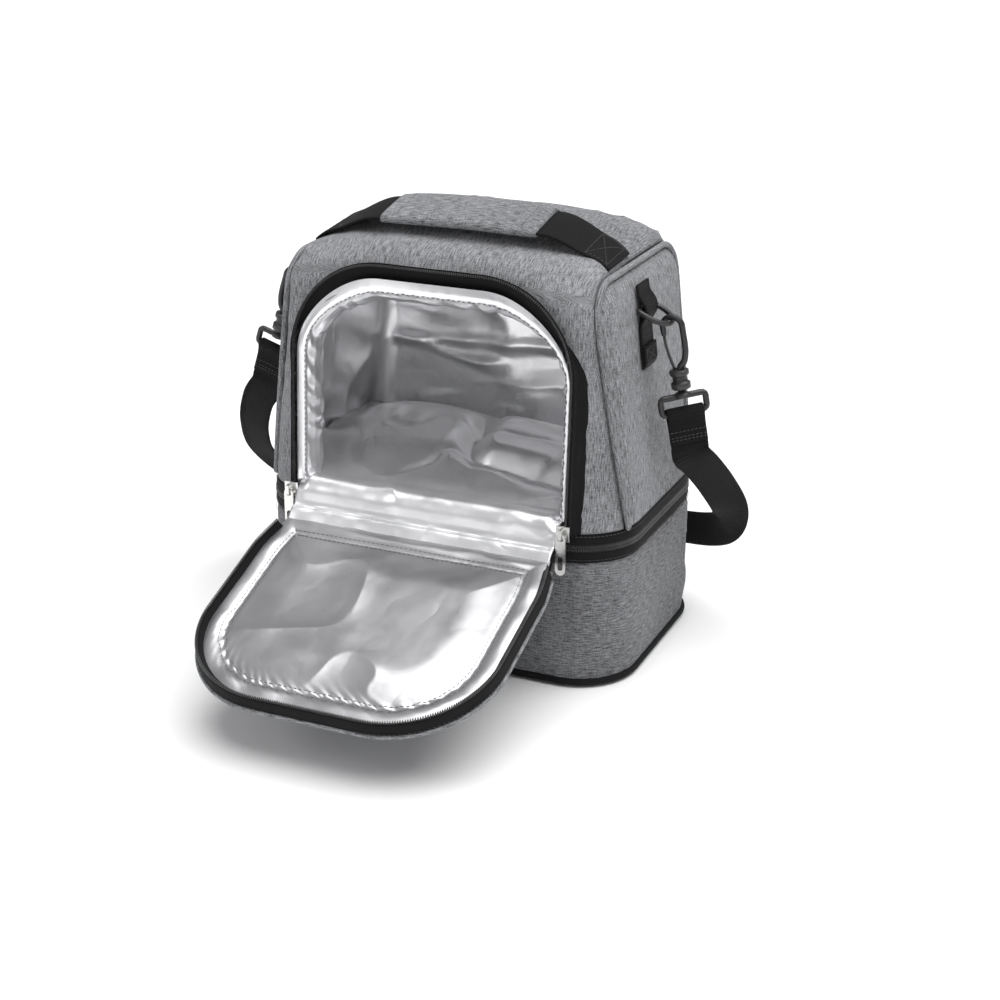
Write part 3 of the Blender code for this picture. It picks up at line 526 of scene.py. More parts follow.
rub = maths(
    film_group,
    "ADD",
    dull.outputs[0],
    maths(film_group, "MULTIPLY", maths(film_group, "SUBTRACT", fine.outputs[0]), 0.12),
)
film_group.links.new(rub, end.inputs["Roughness"])

# %% [markdown]
# Moulded plastic and cast metal are rubbed pale along their edges. Where the surface bends sharply the
# mesh says so by its pointiness; that, broken up by noise, is a mask of wear. On the nylon coil the same
# mask is a painted highlight: it lightens the crest of each tooth.

# %% Edge wear and painted glint group
wear_and_glint_group, start, end = new_group(
    "Edge wear and glint",
    [
        ("Place", "NodeSocketVector", (0, 0, 0)),
        ("Edge", "NodeSocketFloat", 0.5),
        ("Base", "NodeSocketColor", (0.02, 0.02, 0.02, 1)),
        ("Rubbed and glint", "NodeSocketColor", (0.09, 0.09, 0.09, 1)),
        ("Polish", "NodeSocketFloat", 0.35),
    ],
    [("Color", "NodeSocketColor"), ("Roughness", "NodeSocketFloat"), ("Height", "NodeSocketFloat")],
)
grain = put(
    wear_and_glint_group, "ShaderNodeTexNoise", {"Vector": start.outputs["Place"], "Scale": 700.0, "Detail": 4.0}
)
patch = put(
    wear_and_glint_group, "ShaderNodeTexNoise", {"Vector": start.outputs["Place"], "Scale": 120.0, "Detail": 3.0}
)
edge = put(
    wear_and_glint_group, "ShaderNodeMapRange", {"Value": start.outputs["Edge"], "From Min": 0.52, "From Max": 0.62}
)
wear_and_glint_mask = maths(wear_and_glint_group, "MULTIPLY", edge.outputs[0], patch.outputs[0], True)
wear_and_glint_group.links.new(
    blend_colours(wear_and_glint_group, wear_and_glint_mask, start.outputs["Base"], start.outputs["Rubbed and glint"]), end.inputs["Color"]
)
rough = maths(
    wear_and_glint_group,
    "ADD",
    start.outputs["Polish"],
    maths(wear_and_glint_group, "MULTIPLY", maths(wear_and_glint_group, "SUBTRACT", patch.outputs[0]), 0.3),
)
wear_and_glint_group.links.new(rough, end.inputs["Roughness"])
wear_and_glint_group.links.new(grain.outputs[0], end.inputs["Height"])
print("node groups", [group.name for group in bpy.data.node_groups])


# %% Making a finish from a group
def finish_of(name, group, values, surface, bump, on_map=True, outputs=("Color", "Height", "Roughness")):
    """A material: the group reads the cloth map or the object's coordinates and feeds a surface shader."""
    look = bpy.data.materials.new(name)
    look.use_nodes = True
    tree = look.node_tree
    shader = tree.nodes["Principled BSDF"]
    source = tree.nodes.new("ShaderNodeGroup")
    source.node_tree = group
    if on_map:
        tree.links.new(put(tree, "ShaderNodeUVMap", uv_map="cloth").outputs[0], source.inputs["Map"])
    else:
        tree.links.new(put(tree, "ShaderNodeTexCoord").outputs["Object"], source.inputs["Place"])
    if "Edge" in source.inputs:
        tree.links.new(put(tree, "ShaderNodeNewGeometry").outputs["Pointiness"], source.inputs["Edge"])
    for key, value in values.items():
        source.inputs[key].default_value = value
    for key, value in surface.items():
        shader.inputs[key].default_value = value
    tree.links.new(source.outputs["Color"], shader.inputs["Base Color"])
    if "Roughness" in outputs:
        tree.links.new(source.outputs["Roughness"], shader.inputs["Roughness"])
    relief = put(
        tree, "ShaderNodeBump", {"Height": source.outputs["Height"], "Distance": bump, "Strength": 1.0}
    )
    tree.links.new(relief.outputs[0], shader.inputs["Normal"])
    return look


CLOTH_SHADES = {"Dark": (0.075, 0.076, 0.08, 1), "Light": (0.37, 0.375, 0.388, 1)}
CLOTH_SURFACE = {"Sheen Weight": 0.05, "Sheen Roughness": 0.5, "Specular IOR Level": 0.15}
upright_cloth = finish_of(
    "heather upright", cloth_group, {**CLOTH_SHADES, "Along": 0.75}, CLOTH_SURFACE, 0.00022
)
# Painted shade: the lower box's cloth is the same heather with both yarn shades about a quarter darker.
level_cloth_shaded = finish_of(
    "heather level, painted shade",
    cloth_group,
    {"Dark": (0.05, 0.051, 0.054, 1), "Light": (0.29, 0.294, 0.305, 1), "Along": 0.25},
    CLOTH_SURFACE,
    0.00022,
)
BAND_SURFACE = {"Roughness": 0.7, "Sheen Weight": 0.015, "Specular IOR Level": 0.15}
webbing = finish_of(
    "black webbing", band_group, {"Ribs": 3900.0, "Twill": 5200.0}, BAND_SURFACE, 0.00028, outputs=()
)
tape = finish_of(
    "zip tape", band_group, {
        "Ribs": 7000.0, "Twill": 9000.0, "Dust and crest sheen": (0.015, 0.015, 0.016, 1)
    }, BAND_SURFACE, 0.00012, outputs=()
)
thread_black = finish_of(
    "black thread", wear_and_glint_group, {"Base": (0.012, 0.012, 0.012, 1), "Polish": 0.6}, {}, 0.00002, False
)
thread_grey = finish_of(
    "grey thread", wear_and_glint_group, {
        "Base": (0.09, 0.09, 0.094, 1), "Rubbed and glint": (0.3, 0.3, 0.3, 1), "Polish": 0.7
    }, {}, 0.00002, False
)
# Painted highlight: the coil's paler edge colour lights the crests of its teeth, and is not wear.
nylon = finish_of(
    "nylon coil, painted glints", wear_and_glint_group, {
        "Base": (0.009, 0.009, 0.0095, 1), "Rubbed and glint": (0.09, 0.09, 0.09, 1), "Polish": 0.36
    }, {}, 0.00001, False
)
plastic = finish_of(
    "moulded plastic", wear_and_glint_group, {
        "Base": (0.013, 0.013, 0.014, 1), "Rubbed and glint": (0.07, 0.07, 0.07, 1), "Polish": 0.36
    }, {}, 0.00003, False
)
zinc = finish_of(
    "cast zinc", wear_and_glint_group, {"Base": (0.72, 0.72, 0.7, 1), "Rubbed and glint": (0.85, 0.84, 0.82, 1), "Polish": 0.28},
    {"Metallic": 1.0}, 0.00002, False,
)
foil = finish_of(
    "crushed foil",
    film_group,
    {"Size": 42.0, "Pale": (0.95, 0.95, 0.96, 1)},
    {"Metallic": 0.9},
    0.001,
    False,
)
# Painted shade: the flap's film is the lining's film at about half its paleness, not another foil.
flap_foil_shaded = finish_of(
    "smooth foil, painted shade", film_group, {"Size": 34.0, "Pale": (0.5, 0.5, 0.51, 1)}, {"Metallic": 0.9}, 0.0006, False
)
print("finishes", len(bpy.data.materials))

# %% [markdown]
# The upper box is a strip that runs from the front foot over the top to the back foot, sewn at each side to
# a flat panel. It could be a cube with rounded edges, but a real box of cloth has a round side view and a
# round plan at once. So its shape is a side view, and the plan's corner is turned at each point of it.

# %% Shape of the upper box
def half_width(z):
    """Straight taper above the ring zip; below it the walls draw in by 1.5 mm towards the foot."""
    upper = HALF + (TOP_HALF - HALF) * (z - RING_Z) / (RIM_Z - RING_Z)
    return np.where(z > RING_Z, upper, HALF - 1.5 * (RING_Z - z) / RING_Z)


def corner_radius(z):
    """The plan corner's radius, which shrinks on a straight line from the wall's foot to the top."""
    return LOW_CORNER + (TOP_CORNER - LOW_CORNER) * np.clip((z - WALL_Z) / (EDGE_Z + 18 - WALL_Z), 0, 1)


def seam_turn(z):
    """Where round the plan corner the side seam runs: half way at the top, nearer the side at the foot."""
    return np.radians(70.0 - 25.0 * np.clip((z - WALL_Z) / (EDGE_Z - WALL_Z), 0, 1))


def side_view(step=3.0, foot=WALL_Z):
    """Straight front, quarter turn, flat top, quarter turn, straight back: places and outward normals."""
    turns = np.concatenate([np.linspace(math.pi - LEAN, math.pi / 2, 24), np.linspace(math.pi / 2, 0, 24)])
    fold = np.stack([np.cos(turns), np.sin(turns)], 1)
    centre = np.repeat([[FRONT_EDGE_Y, EDGE_Z], [BACK_EDGE_Y, EDGE_Z]], 24, 0)
    arcs = centre + EDGE_R * fold
    front_foot = [arcs[0, 0] - (arcs[0, 1] - foot) * math.tan(LEAN), foot]
    place = np.concatenate([[front_foot], arcs, [[BACK_Y, foot]]])
    both = even(np.concatenate([place, np.concatenate([fold[:1], fold, fold[-1:]])], 1), step)
    return both[:, :2], both[:, 2:] / np.linalg.norm(both[:, 2:], axis=1, keepdims=True)


def shell(across, step=3.0, inset=0.0):
    """Points of the strip: |across| up to 1 is its flat part, and from 1 to 2 it turns to the side seam."""
    place, normal = side_view(step)
    width, radius = half_width(place[:, 1]) - inset, corner_radius(place[:, 1]) - inset
    angle = np.clip(np.abs(across) - 1, 0, 1) * seam_turn(place[:, 1])[:, None]
    x = np.clip(across, -1, 1) * (width - radius)[:, None] + np.sign(across) * radius[:, None] * np.sin(angle)
    depth = radius[:, None] * (1 - np.cos(angle)) + inset
    points = np.stack([x, place[:, :1] - normal[:, :1] * depth, place[:, 1:] - normal[:, 1:] * depth], -1)
    points[..., 2] = np.maximum(points[..., 2], WALL_Z)
    crown = CROWN * (1 - (x / width[:, None]) ** 2) * np.clip(normal[:, 1:], 0, 1) ** 2
    return points, crown


# %% [markdown]
# The opening is a D on the front. The zip tape is not sewn where its chain runs: at the sides it stands out
# like a lip, and along the top it starts lower down and flares forwards. Two outlines with matching points
# make that easy: any strip between them is a grid.

# %% The D and its planes
def door(offset=0.0, start=0.0):
    """The D in its own plane, (x, height): up the left, round, along the top, round and down the right."""
    half, top, radius = DOOR_HALF + offset, DOOR_HEIGHT + offset, DOOR_CORNER + offset
    turn = np.linspace(math.pi, math.pi / 2, 40)
    left = np.stack([np.full(40, -half), np.linspace(start, top - radius, 40, endpoint=False)], 1)
    bend = np.stack([radius - half + radius * np.cos(turn), top - radius + radius * np.sin(turn)], 1)
    ridge = np.stack([np.linspace(radius - half, half - radius, 42)[1:-1], np.full(40, top)], 1)
    mirror = np.array([-1.0, 1.0])
    return np.concatenate([left, bend, ridge, bend[::-1] * mirror, left[::-1] * mirror])


def hole(offset, start=0.0, flare=FLARE):
    """The D that is sewn: as the zip's at the sides, and `flare` lower along the top."""
    wide, low = door(offset, start), door(offset - flare, start)
    share = rise(wide[:, 1:], 95.0, 155.0)
    return wide * (1 - share) + low * share


def sink(plane):
    """How far the cloth lies behind the plane of the front, round the corners and over the top edge."""
    z = DOOR_Z + plane[..., 1] * math.cos(LEAN)
    radius = corner_radius(z)
    past = np.clip(np.abs(plane[..., 0]) - (half_width(z) - radius), 0, radius * 0.95)
    over = np.clip(z - EDGE_Z, 0, EDGE_R * 0.95)
    return radius - np.sqrt(radius**2 - past**2) + EDGE_R - np.sqrt(EDGE_R**2 - over**2)


def on_face(plane, out):
    """From the D's plane to the bag's front; `out` is the height off it."""
    up = np.array([0.0, math.sin(LEAN), math.cos(LEAN)])
    away = np.array([0.0, -math.cos(LEAN), math.sin(LEAN)])
    lift = np.broadcast_to(np.asarray(out, float), plane.shape[:-1])[..., None]
    points = np.array([0.0, FRONT_Y, DOOR_Z]) + plane[..., 1:] * up + lift * away
    points[..., 0] = plane[..., 0]
    return points


def on_flap(plane, height):
    """From the D's plane to the open flap, a little narrower at its hinge; `height` is towards its lining."""
    out = np.array([0.0, -math.cos(FLAP_DROP), -math.sin(FLAP_DROP)])
    up = np.array([0.0, -math.sin(FLAP_DROP), math.cos(FLAP_DROP)])
    lift = np.broadcast_to(np.asarray(height, float), plane.shape[:-1])[..., None] + FLAP_OFFSET
    points = HINGE + (plane[..., 1:] + DOOR_Z - HINGE[2]) * out + lift * up
    near = 1 - rise(plane[..., 1], 0, 40)
    points[..., 0] = plane[..., 0] * (1 - 0.05 * near)
    return points


def from_outline(points, outline):
    """Nearest point of an outline for each point, and the distance to it, positive on its left."""
    gaps = ((points[:, None] - outline[None]) ** 2).sum(2)
    index = gaps.argmin(1)
    tangent = np.gradient(outline, axis=0)[index]
    nearest = outline[index]
    side = (points[:, 0] - nearest[:, 0]) * -tangent[:, 1] + (points[:, 1] - nearest[:, 1]) * tangent[:, 0]
    return nearest, np.sqrt(gaps.min(1)) * np.where(side >= 0, 1.0, -1.0)


# %% [markdown]
# The main panel is that strip, with the D left out. Its edge beside the tape would be a staircase of
# squares; so the points nearest the D slide on to it. The padding pushes the cloth out between its seams,
# the seams pull it in, and soft folds cross it where the top front corners are gathered.

# %% Main panel
def puff(points):
    """How far foam lifts the top, 7.5 mm at most, and nothing at its front, back and side edges."""
    x, y = points[..., 0], points[..., 1]
    return 7.5 * rise(y, -48, 2) * (1 - rise(y, 50, 84)) * (1 - np.clip(np.abs(x) / TOP_HALF, 0, 1) ** 5)


def lift_with_top(piece):
    """Tilts a piece of the handle with the top under it, point by point; its middle hangs a little."""
    points = np.empty(len(piece.data.vertices) * 3, np.float32)
    piece.data.vertices.foreach_get("co", points)
    points = points.reshape(-1, 3)
    hang = 3.5 * rise(GRIP_HALF + 30 - np.abs(points[:, 0] * 1000), 0, 30)
    points[:, 2] += (puff(points * 1000) - hang) / 1000
    piece.data.vertices.foreach_set("co", points.ravel())
    piece.data.update()


def padded_out(grid, edge, size, depth, shift):
    """Cloth over foam: lumps of `depth` mm along the normal, faded out at the seams by `edge` (0 to 1)."""
    swell = depth * lumps(grid, size, shift) + 0.35 * depth * lumps(grid, size * 0.34, shift + 5)
    return grid + normals(grid) * (swell * edge)[..., None]


across = np.concatenate([np.linspace(-2, -1, 17)[:-1], np.linspace(-1, 1, 75), np.linspace(1, 2, 17)[1:]])
grid, crown = shell(across, 2.6)
plane = np.stack([grid[..., 0], (grid[..., 2] - DOOR_Z) / math.cos(LEAN)], -1)
in_front = grid[..., 1] < FRONT_EDGE_Y + 6
sewn = even(hole(4.0, -14.0), 1.0)
nearest, gap = from_outline(plane.reshape(-1, 2), sewn)
gap = np.where(in_front, gap.reshape(grid.shape[:2]), 99.0)
slide = (gap < 1.6) & (gap > -2.2)
flat = np.where(slide[..., None], nearest.reshape(plane.shape), plane)
moved = on_face(flat, -sink(flat))
grid = np.where(slide[..., None], moved, grid)
grid[..., 2] = np.maximum(grid[..., 2], WALL_Z) + crown
keep = gap > -2.3
from_seam = rise(2 - np.abs(across), 0.0, 0.2)[None]
edge = from_seam * rise(gap, 0, 12) * rise(grid[..., 2], WALL_Z, WALL_Z + 8)
folds = creases(grid * np.array([1.0, 1.0, 1.4]), 30.0, 2.0) ** 2
near_top = rise(grid[..., 2], 190, 245) * rise(np.abs(grid[..., 0]), 60, 105)
main_grid = padded_out(grid, edge, 34.0, 0.9, 1.0)
out = normals(grid)
main_grid = (
    main_grid
    + out * (0.9 * edge * (1 + 1.6 * near_top) * (folds - 0.35) - 2.2 * (1 - from_seam) ** 3)[..., None]
)
main_grid[..., 2] += puff(main_grid) * rise(main_grid[..., 2], 245, 262)
main_panel = sheet("main_panel_cloth", main_grid, upright_cloth, "upper_box", 1.0, keep)
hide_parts("main_panel", "gusset_foam", "front_foam")
print("main panel", main_grid.shape, "first normal", normals(main_grid)[5, 40].round(2))

# %% [markdown]
# Each side panel is flat in the middle and turns towards the seam at its rim, front, top and back. Instead
# of bending a grid round the rim, its bulge is read off the distance to the rim: near the rim the cloth
# follows the corner's arc, and past the arc it is flat, with a slight belly.

# %% Side panels
rim_place = side_view(1.0, WALL_Z - 20)[0]
y, z = np.meshgrid(
    np.arange(FRONT_Y - 2, BACK_Y + 3, 2.6),
    np.concatenate([[WALL_Z], np.arange(WALL_Z + 2.0, RIM_Z + 2, 2.6)]),
)
nearest, depth = from_outline(np.stack([y, z], -1).reshape(-1, 2), rim_place)
depth = -depth.reshape(y.shape)
radius = corner_radius(z)
seam_depth = radius * (1 - np.cos(seam_turn(z)))
inward = np.stack([y, z], -1) - nearest.reshape(*y.shape, 2)
inward = inward / np.maximum(np.abs(depth), 0.01)[..., None] * np.sign(depth)[..., None]
slide = np.abs(depth - seam_depth) < 1.7
placed = np.where(
    slide[..., None], nearest.reshape(*y.shape, 2) + inward * seam_depth[..., None], np.stack([y, z], -1)
)
placed[..., 1] = np.maximum(placed[..., 1], WALL_Z)
depth = np.where(slide, seam_depth, depth)
keep = depth >= seam_depth - 0.01
radius = corner_radius(placed[..., 1])
bend = np.sqrt(np.clip(radius**2 - (radius - np.clip(depth, 0, radius)) ** 2, 0, None))
belly = rise(depth, seam_depth, seam_depth + 26.0)
for side, word in ((-1, "left"), (1, "right")):
    x = half_width(placed[..., 1]) - radius + bend
    grid = np.stack([side * x, placed[..., 0], placed[..., 1]], -1)
    ripple = creases(grid * np.array([1, 1.5, 0.8]), 36.0, 20.0 + side) ** 2
    groove = (
        2.2 * np.exp(-(((depth - seam_depth) / 2.6) ** 2))
        + 0.35 * np.exp(-(((depth - seam_depth - 7.5) / 1.6) ** 2))
    )
    swell = belly * (0.5 * lumps(grid, 40.0, side) + 0.4 * (ripple - 0.5)) - groove
    grid[..., 0] += side * swell * rise(placed[..., 1], WALL_Z - 4, WALL_Z + 10)
    panel = sheet(f"{word}_side_cloth", grid, upright_cloth, "upper_box", 1.0, keep, flip=side < 0, uv=placed)
    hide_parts(f"{word}_side_panel", f"{word}_foam")
    place, normal = side_view(2.0)
    z_rim = place[:, 1]
    r = corner_radius(z_rim)
    seam_in = r * (1 - np.cos(seam_turn(z_rim)))
    seam_x = half_width(z_rim) - r * (1 - np.sin(seam_turn(z_rim)))
    proud = seam_in - 1.0
    path = np.stack(
        [side * (seam_x + 1.0), place[:, 0] - normal[:, 0] * proud, place[:, 1] - normal[:, 1] * proud], 1
    )
    path[:, 2] = np.maximum(path[:, 2], WALL_Z)
    cord = sweep(f"{word}_piping_cloth", path, disc(2.1, 14), upright_cloth, "upper_box", (1, 0, 0))
    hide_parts(f"{word}_piping")
    row_in = seam_in + 7.0
    row_x = half_width(z_rim) - r + np.sqrt(np.clip(r**2 - (r - row_in) ** 2, 0, None))
    path = np.stack(
        [side * (row_x + 0.9), place[:, 0] - normal[:, 0] * row_in, place[:, 1] - normal[:, 1] * row_in], 1
    )
    path = path[path[:, 2] > WALL_Z + 3]
    row = stitches(f"{word}_side_stitches", path, (side, 0, 0), thread_grey, "upper_box", 3.2, 2.3, 0.6)
print("side panels", y.shape)

# %% [markdown]
# The lower box is a rounded rectangle drawn in slightly towards its foot. One loop of points round its plan
# serves the cloth, the zip bands, the coil and the lining, each at its own height and inset.

# %% Plan loops
def plan(z, inset=0.0, radius=LOW_CORNER, front=None, back=None, half=None):
    """A rounded rectangle at height z, counter-clockwise from the middle of the front; arcs have 24 steps."""
    half = float(half_width(np.float64(z)) if half is None else half) - inset
    front = (FRONT_Y if front is None else front) + inset
    back = (BACK_Y if back is None else back) - inset
    radius = max(radius - inset, 1.0)
    turn = np.linspace(0, math.pi / 2, 25)
    middle = [(half - radius, front + radius, -math.pi / 2), (half - radius, back - radius, 0.0)]
    middle += [(radius - half, back - radius, math.pi / 2), (radius - half, front + radius, math.pi)]
    loop = [np.linspace([0.0, front], [half - radius, front], 30)[:-1]]
    for number, (cx, cy, start) in enumerate(middle):
        arc = np.stack([cx + radius * np.cos(start + turn), cy + radius * np.sin(start + turn)], 1)
        loop.append(arc)
        if number < 3:
            nx, ny, begin = middle[number + 1]
            head = [nx + radius * math.cos(begin), ny + radius * math.sin(begin)]
            loop.append(np.linspace(arc[-1], head, 30)[1:-1])
    loop.append(np.linspace(loop[-1][-1], [0.0, front], 30)[1:-1])
    flat = np.concatenate(loop)
    return np.concatenate([flat, np.full((len(flat), 1), float(z))], 1)


def loops(heights, insets, **shape):
    """A grid of plan loops, one for each height and inset."""
    return np.stack([plan(height, inset, **shape) for height, inset in zip(heights, insets)])


# %% Lower box cloth
seam_low, seam_high = box_mm("lower_front_panel")
heights = np.concatenate([[0.4, 1.2, 2.6, 4.4], np.linspace(6.5, RING_Z - BAND, 32)])
insets = np.concatenate([[4.0, 1.9, 0.7, 0.1], np.zeros(32)])
grid = loops(heights, insets)
hold = (rise(heights, 4, 22) * (1 - rise(heights, 76, 88)))[:, None]
waves = 1.3 * lumps(grid * np.array([1, 1, 1.5]), 38.0, 8.0) + 0.45 * lumps(grid, 12.0, 9.0)
ridges = creases(grid * np.array([1, 1, 2.2]), 34.0, 12.0) ** 3
swell = hold * (1.2 + waves + 1.0 * (ridges - 0.2))
seam = np.minimum(np.abs(grid[..., 0] - seam_high[0]), np.abs(grid[..., 0] - seam_low[0]))
seam = np.where(grid[..., 1] < FRONT_Y + 12, seam, 99.0)
swell = swell - 1.2 * np.exp(-((seam / 1.6) ** 2)) * rise(heights, 2, 8)[:, None]
top_groove = 0.8 * np.exp(-(((heights - (RING_Z - BAND)) / 1.6) ** 2))
grid = grid + normals(grid, True) * (swell - top_groove[:, None])[..., None]
lower_cloth = sheet("lower_cloth", grid, level_cloth_shaded, "lower_box", 1.0, wrap=True)
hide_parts("lower_front_panel", "lower_wrap_panel", "lower_foam_wall", "base_foam")
foot = plan(3.2, -0.2)
bottom_cord = sweep("bottom_piping_cloth", foot, disc(2.3, 12), tape, "lower_box", (0, 0, 1), True)
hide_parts("bottom_piping")
centre = np.array([0.0, 0.0, 0.5])
base = np.stack([centre + (plan(0.5, 3.0) - centre) * share for share in (0.25, 0.5, 0.75, 0.93, 1.0)])
base_sheet = sheet("base_cloth", cap(base, 0), tape, "lower_box", 0.0, wrap=True, flip=True)
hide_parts("base_panel")
front_part = (np.abs(grid[0, :, 0] - seam_high[0]) + (grid[0, :, 1] > FRONT_Y + 12) * 99).argmin()
print("lower cloth", grid.shape, "front seams at", seam_low[0].round(1), seam_high[0].round(1))
for column, word in ((front_part, "right"), (len(grid[0]) - front_part, "left")):
    shift = 2 if word == "right" else -2
    path = grid[4:-1, (column + shift) % len(grid[0])] + np.array([0, -0.2, 0])
    row = stitches(f"lower_{word}_seam_stitches", path, (0, -1, 0), thread_grey, "lower_box", 3.2, 2.3, 0.5)
rim_row = stitches(
    "lower_rim_stitches",
    plan(RING_Z - BAND - 3.4, -1.0),
    (0, 0, 1),
    thread_grey,
    "lower_box",
    3.2,
    2.3,
    0.5,
    True,
)

# %% [markdown]
# Round the middle runs the zip that joins the two boxes: a black band on each box and a chain between.
# The two halves of the coil interlock, so each half leans its own way. At the back the chain stops, and a
# strip of cloth is the hinge. It spans two bodies, so it is built in place and rides on neither.

# %% Ring zip
hinge_low, hinge_high = box_mm("back_hinge_strip")
hinge_half = float(hinge_high[0])
bands = {
    "lower": (np.array([88.0, 88.6, 90.5, 93.0, 95.5, 96.6]), np.array([1.2, 0.2, -0.5, -0.6, -0.2, 0.4])),
    "upper": (
        np.array([99.4, 100.5, 103.0, 105.5, 107.4, 108.2]), np.array([0.4, -0.2, -0.6, -0.5, 0.2, 1.2])
    ),
}
for word, (heights, insets) in bands.items():
    grid = loops(heights, insets)
    grid = grid + normals(grid, True) * (0.35 * lumps(grid, 22.0, 3.0))[..., None]
    band = sheet(f"ring_{word}_band", grid, tape, f"{word}_box", 0.8, wrap=True)
    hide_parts(f"ring_tape_{word}")
    edge_z = 96.9 if word == "lower" else 99.1
    loop = plan(edge_z, 0.1)
    loop = even(loop, 1.0, True)
    open_part = (np.abs(loop[:, 0]) > hinge_half - 4) | (loop[:, 1] < 60)
    start = int(np.flatnonzero(~open_part)[-1]) + 1
    loop = np.roll(loop, -start, 0)[: int(open_part.sum())]
    teeth = coil(
        f"ring_{word}_coil", loop, (0, 0, 1 if word == "upper" else -1), nylon, f"{word}_box", 1.55, 3.0, 1.9
    )
    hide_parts(f"ring_chain_{word}")
    row_z = 90.2 if word == "lower" else 106.2
    row = stitches(
        f"ring_{word}_stitches",
        plan(row_z, -0.75),
        (0, 0, 1),
        thread_black,
        f"{word}_box",
        2.8,
        2.0,
        0.5,
        True,
    )
x, u = np.meshgrid(np.linspace(-hinge_half, hinge_half, 60), np.linspace(0, 1, 15))
hinge_z = hinge_low[2] + (hinge_high[2] - hinge_low[2]) * u
grid = np.stack(
    [
        x,
        BACK_Y + 1.2 + 0.5 * np.sin(math.pi * u) + 0.3 * lumps(np.stack([x, x * 0, hinge_z], -1), 20.0),
        hinge_z,
    ],
    -1,
)
hinge_strip = sheet("back_hinge_cloth", grid, tape, None, 1.0, flip=True)
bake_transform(hinge_strip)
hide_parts("back_hinge_strip")
print("ring zip", loop.shape, "hinge half width", hinge_half)

# %% [markdown]
# The zip tape stands out round the D, with its coil on the edge that meets the flap's. It starts under the
# cloth's edge, turns outwards, and is hidden again by the foil facing inside it. Each of these is a grid
# between two or more outlines.

# %% Tape and coil round the D
def ring_between(place, edges, rows):
    """A grid along the D: its rows run smoothly through the given (outline, height) edges."""
    corners = np.stack([place(outline, height) for outline, height in edges])
    t = np.linspace(0, len(edges) - 1, rows)
    i = np.minimum(t.astype(int), len(edges) - 2)
    u = (t - i)[:, None, None]
    return corners[i] * (1 - u) + corners[i + 1] * u


foot = 1.0
sewn_edge = hole(4.4, foot)
tape_edges = [
    (hole(8.0, foot), -0.9 - sink(hole(8.0, foot))),
    (sewn_edge, 0.5 - sink(sewn_edge)),
    (hole(3.4, foot), 2.0 - sink(sewn_edge)),
]
tape_edges += [
    (hole(2.2, foot) * 0.5 + door(2.0, foot) * 0.5, 3.0 - 0.5 * sink(sewn_edge)), (door(1.5, foot), DOOR_LIP)
]
grid = ring_between(on_face, tape_edges, 13)
grid = grid + normals(grid) * (0.35 * lumps(grid, 16.0, 2.0) * np.linspace(0, 1, 13)[:, None])[..., None]
door_band = sheet("door_band", grid, tape, "upper_box", 0.7)
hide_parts("door_tape_body")
chain_path = on_face(door(0.3, foot), DOOR_LIP - 0.2)
face_away = np.array([0.0, -math.cos(LEAN), math.sin(LEAN)])
door_coil = coil("door_coil", chain_path, face_away, nylon, "upper_box", 1.5, 3.2, 2.0)
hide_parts("door_chain_body")
row = stitches(
    "door_band_stitches",
    on_face(hole(4.9, foot), 0.9 - sink(hole(4.9, foot))),
    (1, 0, 0),
    thread_black,
    "upper_box",
    3.0,
    2.2,
    0.5,
)

# %% [markdown]
# Inside the tape a band of foil faces the opening. It is stitched half way along, and the stitches pull it
# into small puckers, which are a wave along the seam that dies out to both sides.

# %% Foil facing
FACE_DEEP = -9.0
deep = sink(hole(-9.0, foot))
face_edges = [
    (hole(-1.6, foot, 7.0), 3.9),
    (hole(-2.4, foot, 8.5), 3.2),
    (hole(-4.6, foot, 12.0), 0.6 - 0.2 * deep),
    (hole(-7.5, foot), -3.0 - 0.6 * deep),
]
face_edges += [
    (hole(-9.5, foot), -7.0 - 0.9 * deep),
    (hole(-10.6, foot), FACE_DEEP - 3 - deep),
    (hole(-8.0, foot), -20.0 - deep),
    (hole(2.0, foot), -32.0 - deep),
]
grid = ring_between(on_face, face_edges, 36)
share = np.linspace(0, 1.4, 36)[:, None]
run = arc_map(grid)[..., 0]
below = rise(share, 0.45, 0.62) * (1 - rise(share, 1.15, 1.4))
pucker = 0.35 * np.sin(run / 1.3 + 2.5 * lumps(grid, 14.0, 4.0)) * np.exp(-(((share - 0.44) / 0.12) ** 2))
gather = np.sin(run / 2.6 + 3.5 * lumps(grid * 0.5, 9.0, 8.0)) * (0.6 + 0.8 * lumps(grid, 30.0, 12.0))
swell = (
    1.2 * np.sin(math.pi * np.minimum(share, 1))
    - 1.4 * np.exp(-(((share - 0.44) / 0.05) ** 2))
    + pucker
    + 1.5 * below * gather
)
facing_grid = grid + normals(grid) * swell[..., None]
facing = sheet("opening_facing_foil", facing_grid, foil, "upper_box", 0.0)
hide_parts("opening_facing")
row = stitches(
    "facing_stitches",
    facing_grid[11] + np.array([0, -0.2, 0]),
    (0, -1, 0),
    thread_grey,
    "upper_box",
    3.6,
    2.6,
    0.6,
)
print("facing", facing_grid.shape)

# %% [markdown]
# The lining of the upper box is one bag of film: it runs from the middle of the floor out to the walls, up,
# and over to the middle of the top, as rings of points. Crushed film has flat facets that meet at sharp
# ridges, so the displacement is made from folded noise and not from soft noise alone. A cloth solver could
# crush it, but the folds that show are few and their places matter.

